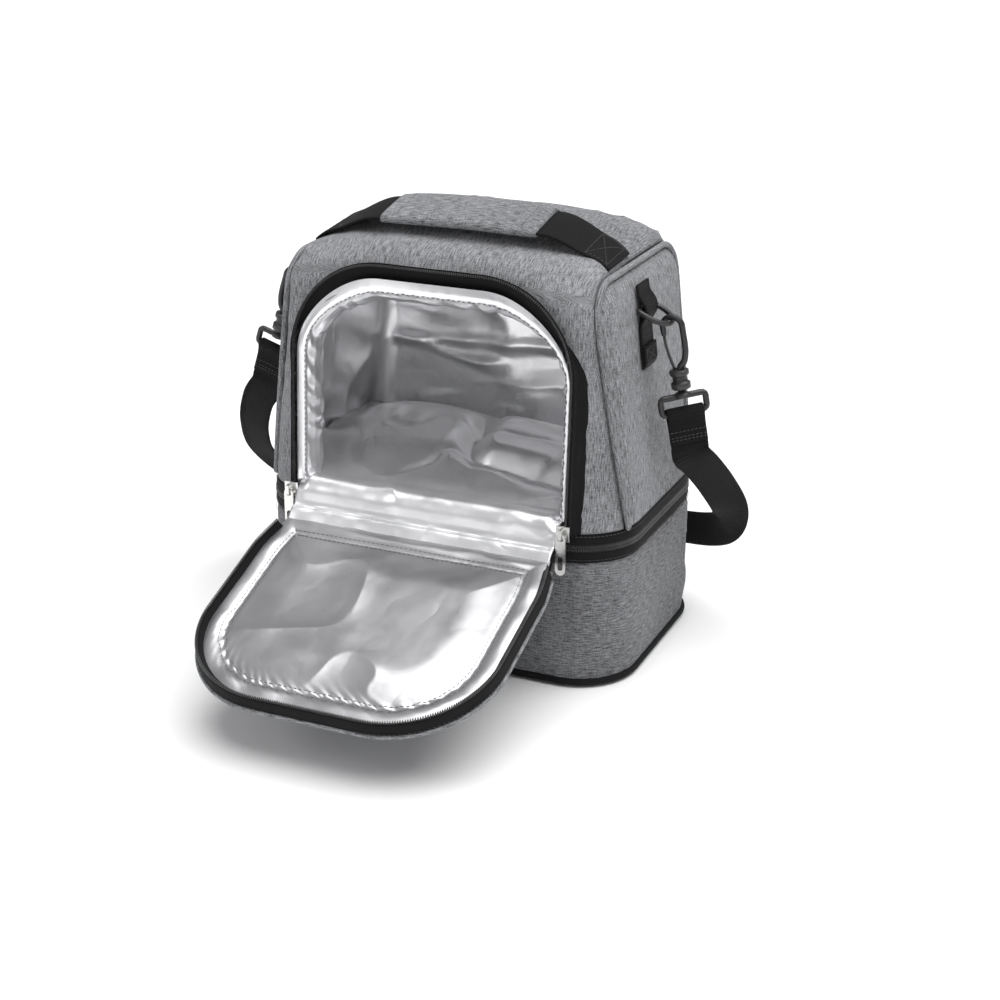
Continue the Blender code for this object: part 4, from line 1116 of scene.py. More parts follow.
# %% Upper lining
LINING = 9.0
wall_heights = np.concatenate(
    [np.linspace(113.0, EDGE_Z, 62), EDGE_Z + 21.0 * np.sin(np.linspace(0, math.pi / 2, 14)[1:])]
)
front_line = FRONT_Y + (np.minimum(wall_heights, EDGE_Z) - WALL_Z) * math.tan(LEAN)
round_in = 21.0 - np.sqrt(np.clip(21.0**2 - np.clip(wall_heights - EDGE_Z, 0, 21.0) ** 2, 0, None))
soft_corner = 25.0 - 8.0 * (wall_heights - 113.0) / 150.0
rings = [
    plan(z, LINING, radius=r, front=f + g, back=BACK_Y - g)
    for z, f, g, r in zip(wall_heights, front_line, round_in, soft_corner)
]
floor_middle, top_middle = np.array([0.0, 0.0, 113.0]), np.array([0.0, 5.0, 262.0 + CROWN * 0.7])
floor = [floor_middle + (rings[0] - floor_middle) * share for share in np.linspace(0.03, 0.985, 44)]
ceiling = [top_middle + (rings[-1] - top_middle) * share for share in np.linspace(0.98, 0.03, 26)]
grid = np.stack(floor + rings + ceiling)
rows = len(grid)
is_floor = (np.arange(rows) < 44)[:, None] & np.ones(grid.shape[1], bool)
z = grid[..., 2]
wall_folds = (
    3.6 * lumps(grid * np.array([0.7, 0.7, 1.0]), 52.0, 1.0)
    + 5.0 * (creases(grid, 64.0, 3.0) ** 2 - 0.35)
    + 1.3 * (creases(grid, 26.0, 7.0) ** 2 - 0.3)
)
pillows = (
    11.0 * (1 - creases(grid, 66.0, 24.0) ** 1.3)
    + 2.5 * (1 - creases(grid, 32.0, 17.0) ** 2)
    + 3.0 * lumps(grid, 44.0, 2.0)
)
on_back = rise(grid[..., 1], 50, 72)
shelf = on_back * (
    4.5 * np.exp(-(((z - 176.0 - 0.05 * grid[..., 0]) / 5.0) ** 2))
    - 2.0 * np.exp(-(((z - 168.0) / 9.0) ** 2))
)
near_hole = 0.25 + 0.75 * rise(grid[..., 1], FRONT_EDGE_Y - 22, FRONT_EDGE_Y + 26)
inward = -normals(grid, True)
rim_of_floor = np.exp(-(((z - 113.0) / 4.0) ** 2)) * (~is_floor)
in_corner = rise(np.abs(grid[..., 0]), 92, 112) * rise(np.abs(grid[..., 1]), 42, 64)
swell = np.where(is_floor, pillows, wall_folds * (1 - 0.8 * in_corner)) * near_hole + shelf * (1 - in_corner)
swell = np.clip(swell, -1.5, 17.0) * (1 - 0.6 * rim_of_floor)
front_to_back = rise(grid[..., 1], -82, 30) * (1 - rise(grid[..., 1], 48, 74))
slope = front_to_back * (1 - rise(np.abs(grid[..., 0]), 84, 118))
floor_belly = np.where(is_floor, 12.0 * slope, 0.0)
lining_grid = grid + inward * (swell + floor_belly)[..., None]
plane = np.stack([lining_grid[..., 0], (lining_grid[..., 2] - DOOR_Z) / math.cos(LEAN)], -1)
gap = from_outline(plane.reshape(-1, 2), even(hole(-9.0, -14.0), 1.5))[1].reshape(z.shape)
is_wall = ~is_floor & (np.arange(rows) < 44 + 62 + 10)[:, None]
cut = is_wall & (lining_grid[..., 1] < FRONT_EDGE_Y + 4) & (gap < 0) & (z > 113.5)
lining_grid = cap(lining_grid, 0, -1)
kept = np.pad(~cut, ((1, 1), (0, 0)), mode="edge")
lining = sheet("upper_lining_film", lining_grid, foil, "upper_box", 0.0, kept, wrap=True, flip=True)
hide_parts("upper_liner", "divider_foam")
print(
    "upper lining",
    lining_grid.shape,
    "from",
    lining_grid.reshape(-1, 3).min(0).round(1),
    "to",
    lining_grid.reshape(-1, 3).max(0).round(1),
)

# %% [markdown]
# Below the opening the floor's film rolls over the sill and runs down to the flap. The roll is full where
# the film is gathered and dips at the hinge line. It joins the floor to the flap, so it rides on neither body
# and is built in place.

# %% Sill and hinge
flap_axes = on_flap(np.array([[0.0, PAD_START + 3.0]]), 0.8)[0]
sill_line = smooth_path(
    [
        (0, FRONT_Y + 22, 114),
        (0, FRONT_Y + 12, 117.0),
        (0, FRONT_Y + 3, 119.0),
        (0, FRONT_Y - 4.0, 118.0),
        (0, FRONT_Y - 9.0, 113.5),
        (0, FRONT_Y - 11.5, 108.0),
        (0, HINGE[1] + 0.5, 103.0),
        (0, HINGE[1] - 3.5, 101.2),
        tuple(flap_axes),
    ],
    1.0,
)
x = np.linspace(-94.0, 94.0, 150)
grid = np.repeat(sill_line[:, None], len(x), 1)
grid[..., 0] = x
share = np.linspace(0, 1, len(sill_line))[:, None]
tuck = rise(94.0 - np.abs(x), 0, 9)[None]
gathers = lumps(grid * np.array([1.0, 0.3, 0.3]), 11.0, 3.0)
wide_folds = lumps(grid * np.array([0.5, 0.8, 0.8]), 20.0, 5.0)
body_of_roll = np.sin(math.pi * np.clip(share / 0.72, 0, 1))
few = creases(grid * np.array([1.0, 0.6, 0.6]), 30.0, 5.0) ** 2
swell = (
    tuck * body_of_roll * (2.2 + 0.35 * gathers + 2.0 * wide_folds + 1.6 * (few - 0.3))
    + 0.4 * gathers * (1 - body_of_roll)
)
grid = grid - normals(grid) * swell[..., None] * np.sign(normals(grid)[20, 75, 2]) * -1
grid[..., 2] -= 3.0 * (1 - tuck) * body_of_roll
sill = sheet("sill_roll", grid, foil, None, 0.8, flip=normals(grid)[20, 75, 2] < 0)
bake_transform(sill)
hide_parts("flap_hinge_web")
under = smooth_path(
    [(0, FRONT_Y + 1.0, 108.6), (0, FRONT_Y - 6, 106.5), (0, HINGE[1] + 2, 101.0), (0, HINGE[1] - 4, 96.0)],
    1.5,
)
x = np.linspace(-95.0, 95.0, 60)
grid = np.repeat(under[:, None], len(x), 1)
grid[..., 0] = x
end_plane = on_flap(np.array([[0.0, COVER_START + 1.5]]), -5.4)[0]
grid[-3:] = grid[-3:] * np.array([1, 0, 0]) + np.array([0, end_plane[1], end_plane[2]])
hinge_cloth = sheet("flap_hinge_tape", grid, tape, None, 0.8)
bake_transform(hinge_cloth)
print("sill", sill_line.shape, "to", flap_axes.round(1))

# %% [markdown]
# The flap is a flat pad: foil on one side, cloth on the other and foam between, edged by its half of the
# zip. Its foil is quilted by one seam a thumb's width from the edge. Rings that shrink from the rim to the
# middle give points whose distance to the edge is known, and that distance is all a quilted seam needs.

# %% Flap rings
def flap_rings(offset, shares, start=PAD_START):
    """Closed D outlines, points 1.6 mm apart, shrunk towards the middle by each share; and edge gaps."""
    open_line = door(offset, start)
    closing = np.linspace(open_line[-1], open_line[0], 60)[1:-1]
    line = even(np.concatenate([open_line, closing]), 1.6, True)
    middle = np.array([0.0, 88.0])
    plane = middle + (line - middle) * np.asarray(shares)[:, None, None]
    dense = even(np.concatenate([open_line, closing]), 1.0, True)
    gap = np.sqrt(((plane.reshape(-1, 1, 2) - dense[None, ::2]) ** 2).sum(2).min(1)).reshape(plane.shape[:2])
    return plane, gap


shares = np.concatenate([[1.0, 0.995, 0.985], np.linspace(0.97, 0.5, 40), np.linspace(0.48, 0.02, 22)])
plane, gap = flap_rings(1.4, shares)
SEAM_GAP = 14.0
flat3 = np.concatenate([plane, np.zeros((*plane.shape[:2], 1))], -1)
inner = rise(gap, SEAM_GAP, SEAM_GAP + 30)
border = np.sin(math.pi * np.clip(gap / SEAM_GAP, 0, 1))
around = arc_map(flat3)[..., 0]
pucker = np.sin(around / 1.5 + 3.0 * lumps(flat3, 17.0, 2.0)) * np.exp(-np.abs(gap - SEAM_GAP) / 2.6)
long_folds = creases(flat3 * np.array([1.0, 0.8, 1.0]), 48.0, 31.0) ** 3 * rise(gap, SEAM_GAP, SEAM_GAP + 14)
height = (
    0.6
    + 1.3 * border * (1 + 0.6 * lumps(flat3, 15.0, 4.0))
    + inner * (3.4 + 1.5 * lumps(flat3, 62.0, 8.0) + 0.35 * lumps(flat3, 24.0, 9.0))
)
height = (
    height
    + 1.0 * long_folds
    - 0.9 * np.exp(-(((gap - SEAM_GAP) / 2.6) ** 2))
    + (0.12 + 0.5 * rise(plane[..., 1], 85, 140)) * pucker
)
foil_grid = cap(on_flap(plane, height), -1)
flap_sheet = sheet("flap_foil_shaded", foil_grid, flap_foil_shaded, "flap", 0.0, wrap=True, flip=True)
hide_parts("flap_liner")
up = np.array([0.0, -math.sin(FLAP_DROP), math.cos(FLAP_DROP)])
for number, inset in enumerate((SEAM_GAP - 2.0, SEAM_GAP + 2.0)):
    column = np.abs(gap - inset).argmin(0)
    path = foil_grid[column, np.arange(foil_grid.shape[1])] + 0.25 * up
    path = smooth_path(path[::3], 1.0)
    row = stitches(f"flap_stitches_{number}", path, up, thread_grey, "flap", 3.4, 2.4, 0.5)
print("flap foil", foil_grid.shape, "height", height.min().round(1), height.max().round(1))

# %% Flap cover and zip
plane, gap = flap_rings(
    4.2, np.concatenate([[1.0, 0.998, 0.99, 0.975], np.linspace(0.96, 0.02, 40)]), COVER_START
)
flat3 = np.concatenate([plane, np.zeros((*plane.shape[:2], 1))], -1)
round_rim = 3.0 * (1 - rise(gap, 0, 3.0))
height = -6.6 + round_rim - rise(gap, 3, 18) * (0.9 + 0.8 * lumps(flat3, 36.0, 5.0))
cover_uv = cap(plane, -1)
cover = sheet(
    "flap_cover_cloth", cap(on_flap(plane, height), -1), upright_cloth, "flap", 0.0, wrap=True, uv=cover_uv
)
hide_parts("flap_cover", "flap_foam")
wall = [
    (door(4.4, EDGE_START), -4.4),
    (door(4.6, EDGE_START), -2.0),
    (door(4.3, EDGE_START), 1.5),
    (door(3.4, EDGE_START), 4.4),
]
grid = ring_between(on_flap, wall, 9)
grid = grid + normals(grid) * (0.3 * lumps(grid, 14.0, 2.0))[..., None]
flap_band = sheet("flap_band", grid, tape, "flap", 0.8)
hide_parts("flap_tape")
lap = [
    (door(3.2, EDGE_START), 4.6),
    (door(1.6, EDGE_START), 4.2),
    (door(0.0, EDGE_START), 2.4),
    (door(-1.2, EDGE_START), 0.9),
]
flap_lap = sheet("flap_band_lap", ring_between(on_flap, lap, 7), tape, "flap", 0.6)
flap_coil = coil("flap_coil", on_flap(door(2.8, EDGE_START), 5.6), up, nylon, "flap", 1.5, 3.2, 2.0)
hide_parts("flap_chain")
edge_path = on_flap(door(4.7, EDGE_START), -4.9)
edge_cord = sweep(
    "flap_edge_cord", smooth_path(edge_path[::3], 2.0), disc(1.3, 10), upright_cloth, "flap", up
)
row = stitches(
    "flap_band_stitches",
    on_flap(door(5.0, EDGE_START), -2.4),
    (1, 0, 0),
    thread_black,
    "flap",
    3.0,
    2.2,
    0.5,
)
print("flap edge", edge_path.min(0).round(1), edge_path.max(0).round(1))

# %% [markdown]
# The lower box is lined too, and the upper box has a foil floor of its own seen from below. Both show only
# when the bag is opened at the ring zip, so they are plainer: rings of points again, with shallower folds.

# %% Lower lining and divider
shares = np.linspace(0.03, 0.985, 24)
wall_heights = np.linspace(9.0, 95.5, 26)
rings = [plan(z, 8.5, radius=42.0) for z in wall_heights]
middle = np.array([0.0, 0.0, 9.0])
lip = [plan(96.0, inset, radius=42.0 + 0.5 * inset) for inset in (7.0, 4.5, 2.0, 0.6)]
grid = np.stack([middle + (rings[0] - middle) * share for share in shares] + rings + lip)
wall_only = np.concatenate([np.ones(24 + 22), np.linspace(1, 0, 4), np.zeros(4)])[:, None]
swell = np.clip(
    2.2 * lumps(grid, 40.0, 4.0) + 3.6 * (creases(grid, 32.0, 14.0) ** 2 - 0.3), -0.5, 6.0
) * wall_only
lower_lining = sheet(
    "lower_lining_film",
    cap(grid - normals(grid, True) * swell[..., None], 0),
    foil,
    "lower_box",
    0.0,
    wrap=True,
    flip=True,
)
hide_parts("lower_liner")
middle = np.array([0.0, 0.0, 102.0])
rim = [plan(99.6, inset) for inset in (9.0, 6.0, 3.0, 0.9)]
grid = np.stack([middle + (plan(101.0, 12.0) - middle) * share for share in shares] + rim)
swell = (
    1.2 * lumps(grid, 45.0, 6.0) + 2.0 * (creases(grid, 40.0, 21.0) ** 2 - 0.3)
) * np.concatenate([np.ones(22), [0.5, 0.2], np.zeros(4)])[:, None]
grid[..., 2] += np.clip(swell, -1.0, 3.0)
divider = sheet("divider_film", cap(grid, 0), foil, "upper_box", 0.0, wrap=True, flip=True)
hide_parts("divider_cover")
print("lower lining and divider", grid.shape)

# %% [markdown]
# The handle is one strip of webbing, sewn flat to the top at both ends and lifted in the middle, where a
# padded sleeve of the bag's cloth is wrapped round it. The sleeve is a rounded section carried along the
# same path, fuller in the middle; a box of stitches holds down each end.

# %% Handle
HANDLE_WIDE, HANDLE_Y, HANDLE_RISE, GRIP_HALF = 38.0, -20.0, 11.0, 55.0
reach = TOP_HALF - 9.0
x = np.linspace(-reach, reach, 161)
top = RIM_Z + CROWN * (1 - (x / TOP_HALF) ** 2)
lift = HANDLE_RISE * rise(reach - 12 - np.abs(x), 0, 34)
past = np.clip(np.abs(x) - (TOP_HALF - TOP_CORNER), 0, None)
drop = TOP_CORNER - np.sqrt(TOP_CORNER**2 - past**2)
handle_path = np.stack([x, np.full_like(x, HANDLE_Y), top + lift + 1.9 - drop], 1)
handle = sweep("handle_band", handle_path, strap_section(HANDLE_WIDE, 1.8), webbing, "upper_box", (0, 1, 0))
lift_with_top(handle)
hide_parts("handle_webbing")
inside = np.abs(x) < GRIP_HALF + 0.5
grip_path = handle_path[inside]
share = np.abs(grip_path[:, 0]) / GRIP_HALF
angle = np.linspace(0, 2 * math.pi, 48, endpoint=False)
oval = np.stack(
    [
        np.sign(np.cos(angle)) * np.abs(np.cos(angle)) ** 0.42,
        np.sign(np.sin(angle)) * np.abs(np.sin(angle)) ** 0.8,
    ],
    1,
)
fat = np.stack([21.5 - 0.8 * share**3, 4.6 - 1.3 * share**4], 1)
section = oval[None] * fat[:, None]
section = section * (
    1
    + 0.025 * lumps(
        np.stack(
            [np.broadcast_to(grip_path[:, :1], section.shape[:2]), section[..., 0], section[..., 1]], -1
        ),
        14.0,
        3.0,
    )
)[..., None]
grip = sweep("handle_grip_cloth", grip_path, section, upright_cloth, "upper_box", (0, 1, 0))
lift_with_top(grip)
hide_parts("handle_grip")
for side, word in ((-1, "left"), (1, "right")):
    rim = grip_path[8 if side < 0 else -9]
    ring = np.stack([np.full(20, rim[0]), np.linspace(-19, 19, 20) + HANDLE_Y, np.full(20, rim[2] + 4.35)], 1)
    row = stitches(f"grip_{word}_stitches", ring, (0, 0, 1), thread_grey, "upper_box", 2.8, 2.0, 0.5)
    lift_with_top(row)
    start, end = side * (reach - 2.5), side * (reach - 17.0)
    corners = np.array(
        [[start, -16], [start, 16], [end, 16], [start, -16], [end, -16], [start, 16], [end, 16], [end, -16]],
        float,
    )
    flat = even(corners, 1.0)
    height = np.interp(flat[:, 0], x, handle_path[:, 2]) + 1.0
    box_path = np.stack([flat[:, 0], flat[:, 1] + HANDLE_Y, height], 1)
    row = stitches(f"handle_{word}_stitches", box_path, (0, 0, 1), thread_black, "upper_box", 2.8, 2.1, 0.6)
    lift_with_top(row)
print("handle", handle_path.min(0).round(1), handle_path.max(0).round(1))

# %% [markdown]
# Each side carries a tab of webbing that holds a D-ring. A swivel hook clips to the ring, and the strap is
# sewn round the hook's frame. Rings, hooks and frames are round bars bent along a path, which a carried
# section gives directly; only the collar has steps, so its radius changes along the way.

# %% Tabs, rings and hooks
BAR_Z, TAB_Y, RING_REACH, HOOK_LONG = 240.0, -10.0, 20.0, 31.0
TAB_LOW, TAB_HIGH = 202.0, 256.0
STRAP_WIDE = 25.0


def turned(name, start, end, stations, look, body, sides=24):
    """A turned part: a circle whose radius follows (share, radius) stations along a straight axis."""
    shares, radii = np.array(stations, float).T
    path = np.asarray(start) + (np.asarray(end) - start) * shares[:, None]
    across = (0.0, 1.0, 0.0)
    section = disc(1.0, sides)[None] * radii[:, None, None]
    return sweep(name, path, section, look, body, across)


strap_starts = {}
for side, word, droop, tilt, turn in ((-1, "left", 16.0, 18.0, 0.0), (1, "right", 25.0, 10.7, 33.0)):
    droop, tilt, turn = (math.radians(value) for value in (droop, tilt, turn))
    heights = np.array(
        [
            TAB_LOW,
            215.0,
            225.0,
            BAR_Z - 10,
            BAR_Z - 6.5,
            BAR_Z - 3.5,
            BAR_Z,
            BAR_Z + 3.5,
            BAR_Z + 6.5,
            BAR_Z + 10,
            TAB_HIGH,
        ]
    )
    lift = np.array([0.2, 0.0, 0.0, 0.4, 2.4, 4.2, 4.8, 4.2, 2.4, 0.4, 0.0])
    tab_path = smooth_path(
        np.stack([side * (half_width(heights) + 1.5 + lift), np.full(11, TAB_Y), heights], 1), 1.5
    )
    tab = sweep(
        f"{word}_tab_band", tab_path, strap_section(STRAP_WIDE - 3.0, 1.8), webbing, "upper_box", (0, 1, 0)
    )
    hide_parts(f"{word}_tab")
    fold_heights = np.array([TAB_LOW - 0.5, TAB_LOW + 3, TAB_LOW + 9, TAB_LOW + 14.0])
    fold_path = smooth_path(
        np.stack(
            [
                side * (half_width(fold_heights) + np.array([1.2, 3.2, 3.4, 3.2])),
                np.full(4, TAB_Y),
                fold_heights,
            ],
            1,
        ),
        1.5,
    )
    fold = sweep(
        f"{word}_tab_fold", fold_path, strap_section(STRAP_WIDE - 2.6, 1.8), webbing, "upper_box", (0, 1, 0)
    )
    corners = np.array(
        [
            [-8.5, TAB_LOW + 3],
            [8.5, TAB_LOW + 3],
            [8.5, TAB_LOW + 12],
            [-8.5, TAB_LOW + 3],
            [-8.5, TAB_LOW + 12],
            [8.5, TAB_LOW + 3],
            [8.5, TAB_LOW + 12],
            [-8.5, TAB_LOW + 12],
        ]
    )
    flat = even(corners, 1.0)
    path = np.stack([side * (half_width(flat[:, 1]) + 4.4), flat[:, 0] + TAB_Y, flat[:, 1]], 1)
    row = stitches(f"{word}_tab_stitches", path, (side, 0, 0), thread_black, "upper_box", 2.6, 2.0, 0.6)

    bar = np.array([side * (float(half_width(BAR_Z)) + 2.3), TAB_Y, BAR_Z])
    out = np.array([side * math.cos(droop), 0.0, -math.sin(droop)])
    sweep_turn = np.radians(np.linspace(-90, 90, 25))
    arc = np.stack([RING_REACH - 13.0 + 13.0 * np.cos(sweep_turn), 13.0 * np.sin(sweep_turn)], 1)
    legs = [(0.8, 13.0), (0.0, 12.0), (0.0, 6.0), (0.0, 0.0), (0.0, -6.0), (0.0, -12.0), (0.8, -13.0)]
    line = np.concatenate([arc, legs])
    ring_path = bar + line[:, :1] * out + line[:, 1:] * np.array([0, 1, 0])
    ring = sweep(
        f"{word}_ring_bar",
        ring_path,
        disc(1.75, 14),
        plastic,
        f"{word}_ring",
        np.cross(out, [0, 1, 0]),
        True,
    )
    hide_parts(f"{word}_dring")

    contact = bar + RING_REACH * out
    down = np.array([side * math.sin(tilt), 0.0, -math.cos(tilt)])
    across = np.array([side * math.cos(tilt), 0.0, math.sin(tilt)])
    depth = np.array([0.0, 1.0, 0.0])
    bend = [(6.6 * math.cos(a), 2.7 - 6.6 * math.sin(a)) for a in np.radians(np.linspace(195, -5, 15))]
    line = np.array(
        [(-6.4, 8.0)] + bend + [(6.6, 8.0), (6.7, 14.0), (6.3, 20.0), (4.6, 25.5), (1.8, 29.0), (0.3, 33.0)]
    )
    hook_path = smooth_path(contact + line[:, :1] * across + line[:, 1:] * down, 0.8)
    share = np.linspace(0, 1, len(hook_path))
    girth = 2.0 + 0.5 * rise(share, 0.75, 1.0) - 0.25 * (1 - rise(share, 0.0, 0.08))
    section = disc(1.0, 16)[None] * girth[:, None, None]
    hook = sweep(f"{word}_hook_bar", hook_path, section, plastic, f"{word}_hook", depth)
    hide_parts(f"{word}_hook")
    steps = [
        (0, 2.2),
        (0.02, 5.4),
        (0.06, 6.4),
        (0.26, 6.4),
        (0.3, 5.9),
        (0.34, 5.0),
        (0.6, 5.0),
        (0.64, 5.9),
        (0.68, 6.4),
        (0.92, 6.4),
        (0.97, 5.6),
        (1.0, 2.2),
    ]
    collar = turned(
        f"{word}_hook_collar",
        contact + (HOOK_LONG - 0.5) * down,
        contact + (HOOK_LONG + 13) * down,
        steps,
        plastic,
        f"{word}_hook",
    )
    gate_low, gate_high = contact - 2.6 * across + (
        HOOK_LONG - 0.4
    ) * down, contact - 6.5 * across + 8.4 * down
    gate_path = (
        gate_low
        + (gate_high - gate_low) * np.linspace(0, 1, 9)[:, None]
        - across * (0.8 * np.sin(np.linspace(0, math.pi, 9)))[:, None]
    )
    gate = sweep(f"{word}_gate_leaf", gate_path, strap_section(3.2, 1.5), plastic, f"{word}_gate", depth)
    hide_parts(f"{word}_gate")
    wide = math.cos(turn) * across + math.sin(turn) * depth
    face = np.cross(wide, down)
    top, low = HOOK_LONG + 17.5, HOOK_LONG + 28.5
    turn_in = np.radians(np.linspace(0, 90, 6))
    corner = np.stack([np.cos(turn_in), np.sin(turn_in)], 1) * 2.4
    line = np.concatenate([
        corner * [1, 1] + [12.6, low - 2.4], corner[::-1] * [-1, 1] + [-12.6, low - 2.4],
        corner * [-1, -1] + [-12.6, top + 2.4], corner[::-1] * [1, -1] + [12.6, top + 2.4],
    ])
    frame_path = even(contact + line[:, :1] * wide + line[:, 1:] * down, 1.5, True)
    loop = sweep(f"{word}_loop_frame", frame_path, disc(2.1, 14), plastic, f"{word}_loop", face, True)
    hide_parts(f"{word}_strap_loop")
    post = [(0, 2.6), (0.3, 2.6), (0.5, 4.8), (1.0, 5.6)]
    pin = turned(
        f"{word}_loop_post",
        contact + (HOOK_LONG + 13.2) * down,
        contact + (top + 0.5) * down,
        post,
        plastic,
        f"{word}_loop",
    )
    line = [(1.0, 80.0), (1.0, low + 9), (2.0, low + 3.5), (3.2, low + 0.6), (2.6, low - 2.2), (0, low - 3.4)]
    line += [(-n, d) for n, d in line[-2::-1]]
    line = np.array(line)
    end_path = smooth_path(contact + line[:, :1] * face + line[:, 1:] * down, 1.0)
    strap_end = sweep(
        f"{word}_strap_wrap", end_path, strap_section(STRAP_WIDE, 1.6), webbing, f"{word}_loop", wide
    )
    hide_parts(f"{word}_strap_end")
    for number, station in enumerate((low + 12.0, low + 15.5, 77.0)):
        for facing_out in (-1, 1):
            path = (
                contact
                + station * down
                + np.linspace(-10.8, 10.8, 20)[:, None] * wide
                + facing_out * 1.9 * face
            )
            row = stitches(
                f"{word}_wrap_stitches_{number}_{(facing_out + 1) // 2}",
                path,
                face * facing_out,
                thread_black,
                f"{word}_loop",
                2.6,
                2.0,
                0.6,
            )
    strap_starts[side] = (contact + 78.0 * down, contact + 82.5 * down, contact + 89 * down, wide)
print("hardware done")

# %% [markdown]
# The shoulder strap is let out a little and lies behind the bag. Each half hangs from its hook, turns at the
# bottom, passes behind, and meets the other in a three-bar slide. It crosses from the ring's joint to the
# bag, and from the bag's upper box to its lower one, so its two stretches ride on no body and are built in
# place.

# %% Shoulder strap
STRAP_BACK = (0.0, 104.0, 43.0)
ROUTES = {
    1: [
        (158, 0, 134),
        (163, 20, 114),
        (166, 42, 90),
        (158, 64, 68),
        (140, 85, 54),
        (112, 98, 47),
        (70, 104, 44),
        (14.6, 104, 43),
    ],
    -1: [
        (-176, -6, 136),
        (-186, 4, 112),
        (-190, 22, 86),
        (-178, 46, 66),
        (-152, 74, 54),
        (-118, 96, 47),
        (-70, 104, 44),
        (-14.6, 104, 43),
    ],
}


def strap_line(side):
    """The CAD's own line and lie of the band, read finely."""
    _, first, second, wide = strap_starts[side]
    coarse = smooth_path([first, second] + ROUTES[side], 1.0)
    stations = np.linspace(-0.35, 1.9, len(coarse))
    share = rise(stations, 0, 1)[:, None]
    lie = wide * (1 - share) + np.array([0, 0, -1.0]) * share
    return coarse, lie


for side, word in ((-1, "left"), (1, "right")):
    path, lie = strap_line(side)
    split = int(len(path) * 15 / 32)
    lead = strap_starts[side][0]
    drop_path = np.concatenate([lead + (path[0] - lead) * np.linspace(0, 0.9, 4)[:, None], path[: split + 1]])
    drop_lie = np.concatenate([np.repeat(lie[:1], 4, 0), lie[: split + 1]])
    drop = sweep(f"{word}_strap_hanging", drop_path, strap_section(STRAP_WIDE, 1.6), webbing, None, drop_lie)
    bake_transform(drop)
    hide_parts(f"{word}_strap_drop")
    back = sweep(
        f"{word}_strap_behind", path[split:], strap_section(STRAP_WIDE, 1.6), webbing, None, lie[split:]
    )
    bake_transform(back)
    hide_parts(f"{word}_strap_back")
    print(word, "strap", round(float(np.linalg.norm(np.diff(path, axis=0), axis=1).sum())), "mm")

# %% Strap slide
outer = np.array([14.6, 17.4])
frame_turn = np.linspace(0, 2 * math.pi, 64, endpoint=False)
squircle = np.stack(
    [
        np.sign(np.cos(frame_turn)) * np.abs(np.cos(frame_turn)) ** 0.35,
        np.sign(np.sin(frame_turn)) * np.abs(np.sin(frame_turn)) ** 0.35,
    ],
    1,
)
frame_path = np.stack(
    [
        squircle[:, 0] * (outer[0] - 1.6),
        np.full(64, STRAP_BACK[1]),
        STRAP_BACK[2] + squircle[:, 1] * (outer[1] - 1.6),
    ],
    1,
)
slide_frame = sweep(
    "strap_slide_frame", even(frame_path, 1.0, True), disc(1.7, 12), plastic, "lower_box", (0, 1, 0), True
)
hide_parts("strap_adjuster")
bar_path = np.stack([np.zeros(9), np.full(9, STRAP_BACK[1]), np.linspace(-16, 16, 9) + STRAP_BACK[2]], 1)
slide_bar = sweep("strap_slide_bar", bar_path, disc(1.9, 12), plastic, "lower_box", (1, 0, 0))
for side, word in ((-1, "left"), (1, "right")):
    x = np.linspace(side * 18.0, side * 2.6, 14)
    path = np.stack(
        [x, STRAP_BACK[1] + 2.2 * np.sin(np.linspace(0, math.pi, 14)), np.full(14, STRAP_BACK[2])], 1
    )
    lap = sweep(f"{word}_strap_lap", path, strap_section(STRAP_WIDE, 1.5), webbing, "lower_box", (0, 0, -1))

# %% [markdown]
# Sliders and pulls are small castings. The frame already holds their shape, with the bridge and the window
# of each pull, so they keep it and take only their metal.

# %% Zip sliders
for name in [node for node in nodes if node.endswith(("_slider", "_pull"))]:
    piece = nodes[name]
    piece.data.materials.clear()
    piece.data.materials.append(zinc)


# %% [markdown]
# Last come the room and the camera: a pale sheet for a floor, a very soft sun above, an even sky and two
# small lamps, which the folds of the foil mirror as highlights.

# %% Floor, lights and camera
floor_look = bpy.data.materials.new("pale floor")
floor_look.use_nodes = True
floor_shader = floor_look.node_tree.nodes["Principled BSDF"]
floor_shader.inputs["Base Color"].default_value = (0.88, 0.88, 0.88, 1)
floor_shader.inputs["Roughness"].default_value = 0.7
floor_mesh = bpy.data.meshes.new("floor")
floor_mesh.from_pydata(
    [(-9, -9, -0.0005), (9, -9, -0.0005), (9, 9, -0.0005), (-9, 9, -0.0005)], [], [(0, 1, 2, 3)]
)
floor_mesh.materials.append(floor_look)
floor = bpy.data.objects.new("floor", floor_mesh)
bpy.context.scene.collection.objects.link(floor)

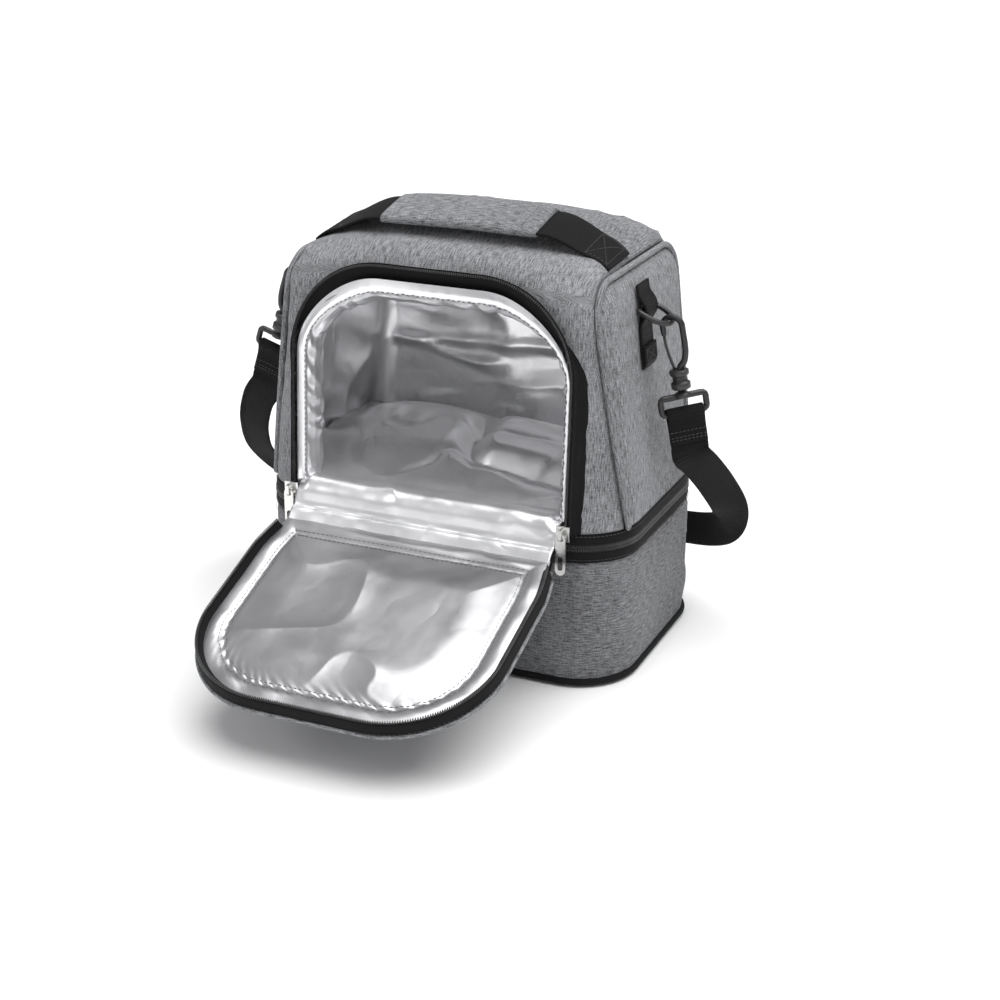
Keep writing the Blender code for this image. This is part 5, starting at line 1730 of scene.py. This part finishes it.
world = bpy.data.worlds.new("studio")
bpy.context.scene.world = world
world.use_nodes = True
sky = world.node_tree
height_above = put(
    sky, "ShaderNodeSeparateXYZ", {0: put(sky, "ShaderNodeTexCoord").outputs["Generated"]}
).outputs[2]
dome = put(
    sky,
    "ShaderNodeMapRange",
    {"Value": height_above, "From Min": 0.12, "From Max": 0.9, "To Min": 0.0, "To Max": 1.0},
)
tint = blend_colours(sky, dome.outputs[0], (0.42, 0.42, 0.43, 1), (0.36, 0.36, 0.37, 1))
sky.links.new(tint, sky.nodes["Background"].inputs["Color"])
sky.nodes["Background"].inputs["Strength"].default_value = 1.0


def lamp(name, place, aim, size, power):
    """A square area light at `place`, turned to face `aim`."""
    data = bpy.data.lights.new(name, "AREA")
    data.shape = "RECTANGLE"
    data.size, data.size_y = size
    data.energy = power
    light = bpy.data.objects.new(name, data)
    bpy.context.scene.collection.objects.link(light)
    light.location = place
    direction = mathutils.Vector(aim) - mathutils.Vector(place)
    light.rotation_euler = direction.to_track_quat("-Z", "Y").to_euler()
    return light


sun_data = bpy.data.lights.new("sun", "SUN")
sun_data.energy = 3.6
sun_data.angle = math.radians(65.0)
sun = bpy.data.objects.new("sun", sun_data)
bpy.context.scene.collection.objects.link(sun)
sun.rotation_euler = mathutils.Vector((-0.25, -0.05, -1.0)).to_track_quat("-Z", "Y").to_euler()
lamp("left", (-1.2, -1.0, 1.0), (0.0, 0.0, 0.12), (0.4, 0.4), 3.0)
lamp("front", (0.1, -1.6, 0.45), (0.0, 0.0, 0.15), (0.3, 0.2), 1.2)
bpy.context.scene.view_settings.view_transform = "Standard"

camera_data = bpy.data.cameras.new("camera")
camera_data.lens = 66.0
camera_data.sensor_width = 36.0
camera = bpy.data.objects.new("camera", camera_data)
bpy.context.scene.collection.objects.link(camera)
camera.location = (0.4936, -1.0855, 0.5552)
look_at = mathutils.Vector((0.0105, 0.0051, 0.0845)) - camera.location
camera.rotation_euler = look_at.to_track_quat("-Z", "Y").to_euler()
bpy.context.scene.camera = camera

# %% Size and finish
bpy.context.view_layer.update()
shown = [name for name, piece in nodes.items() if not piece.hide_render]
print("nodes still shown", shown)
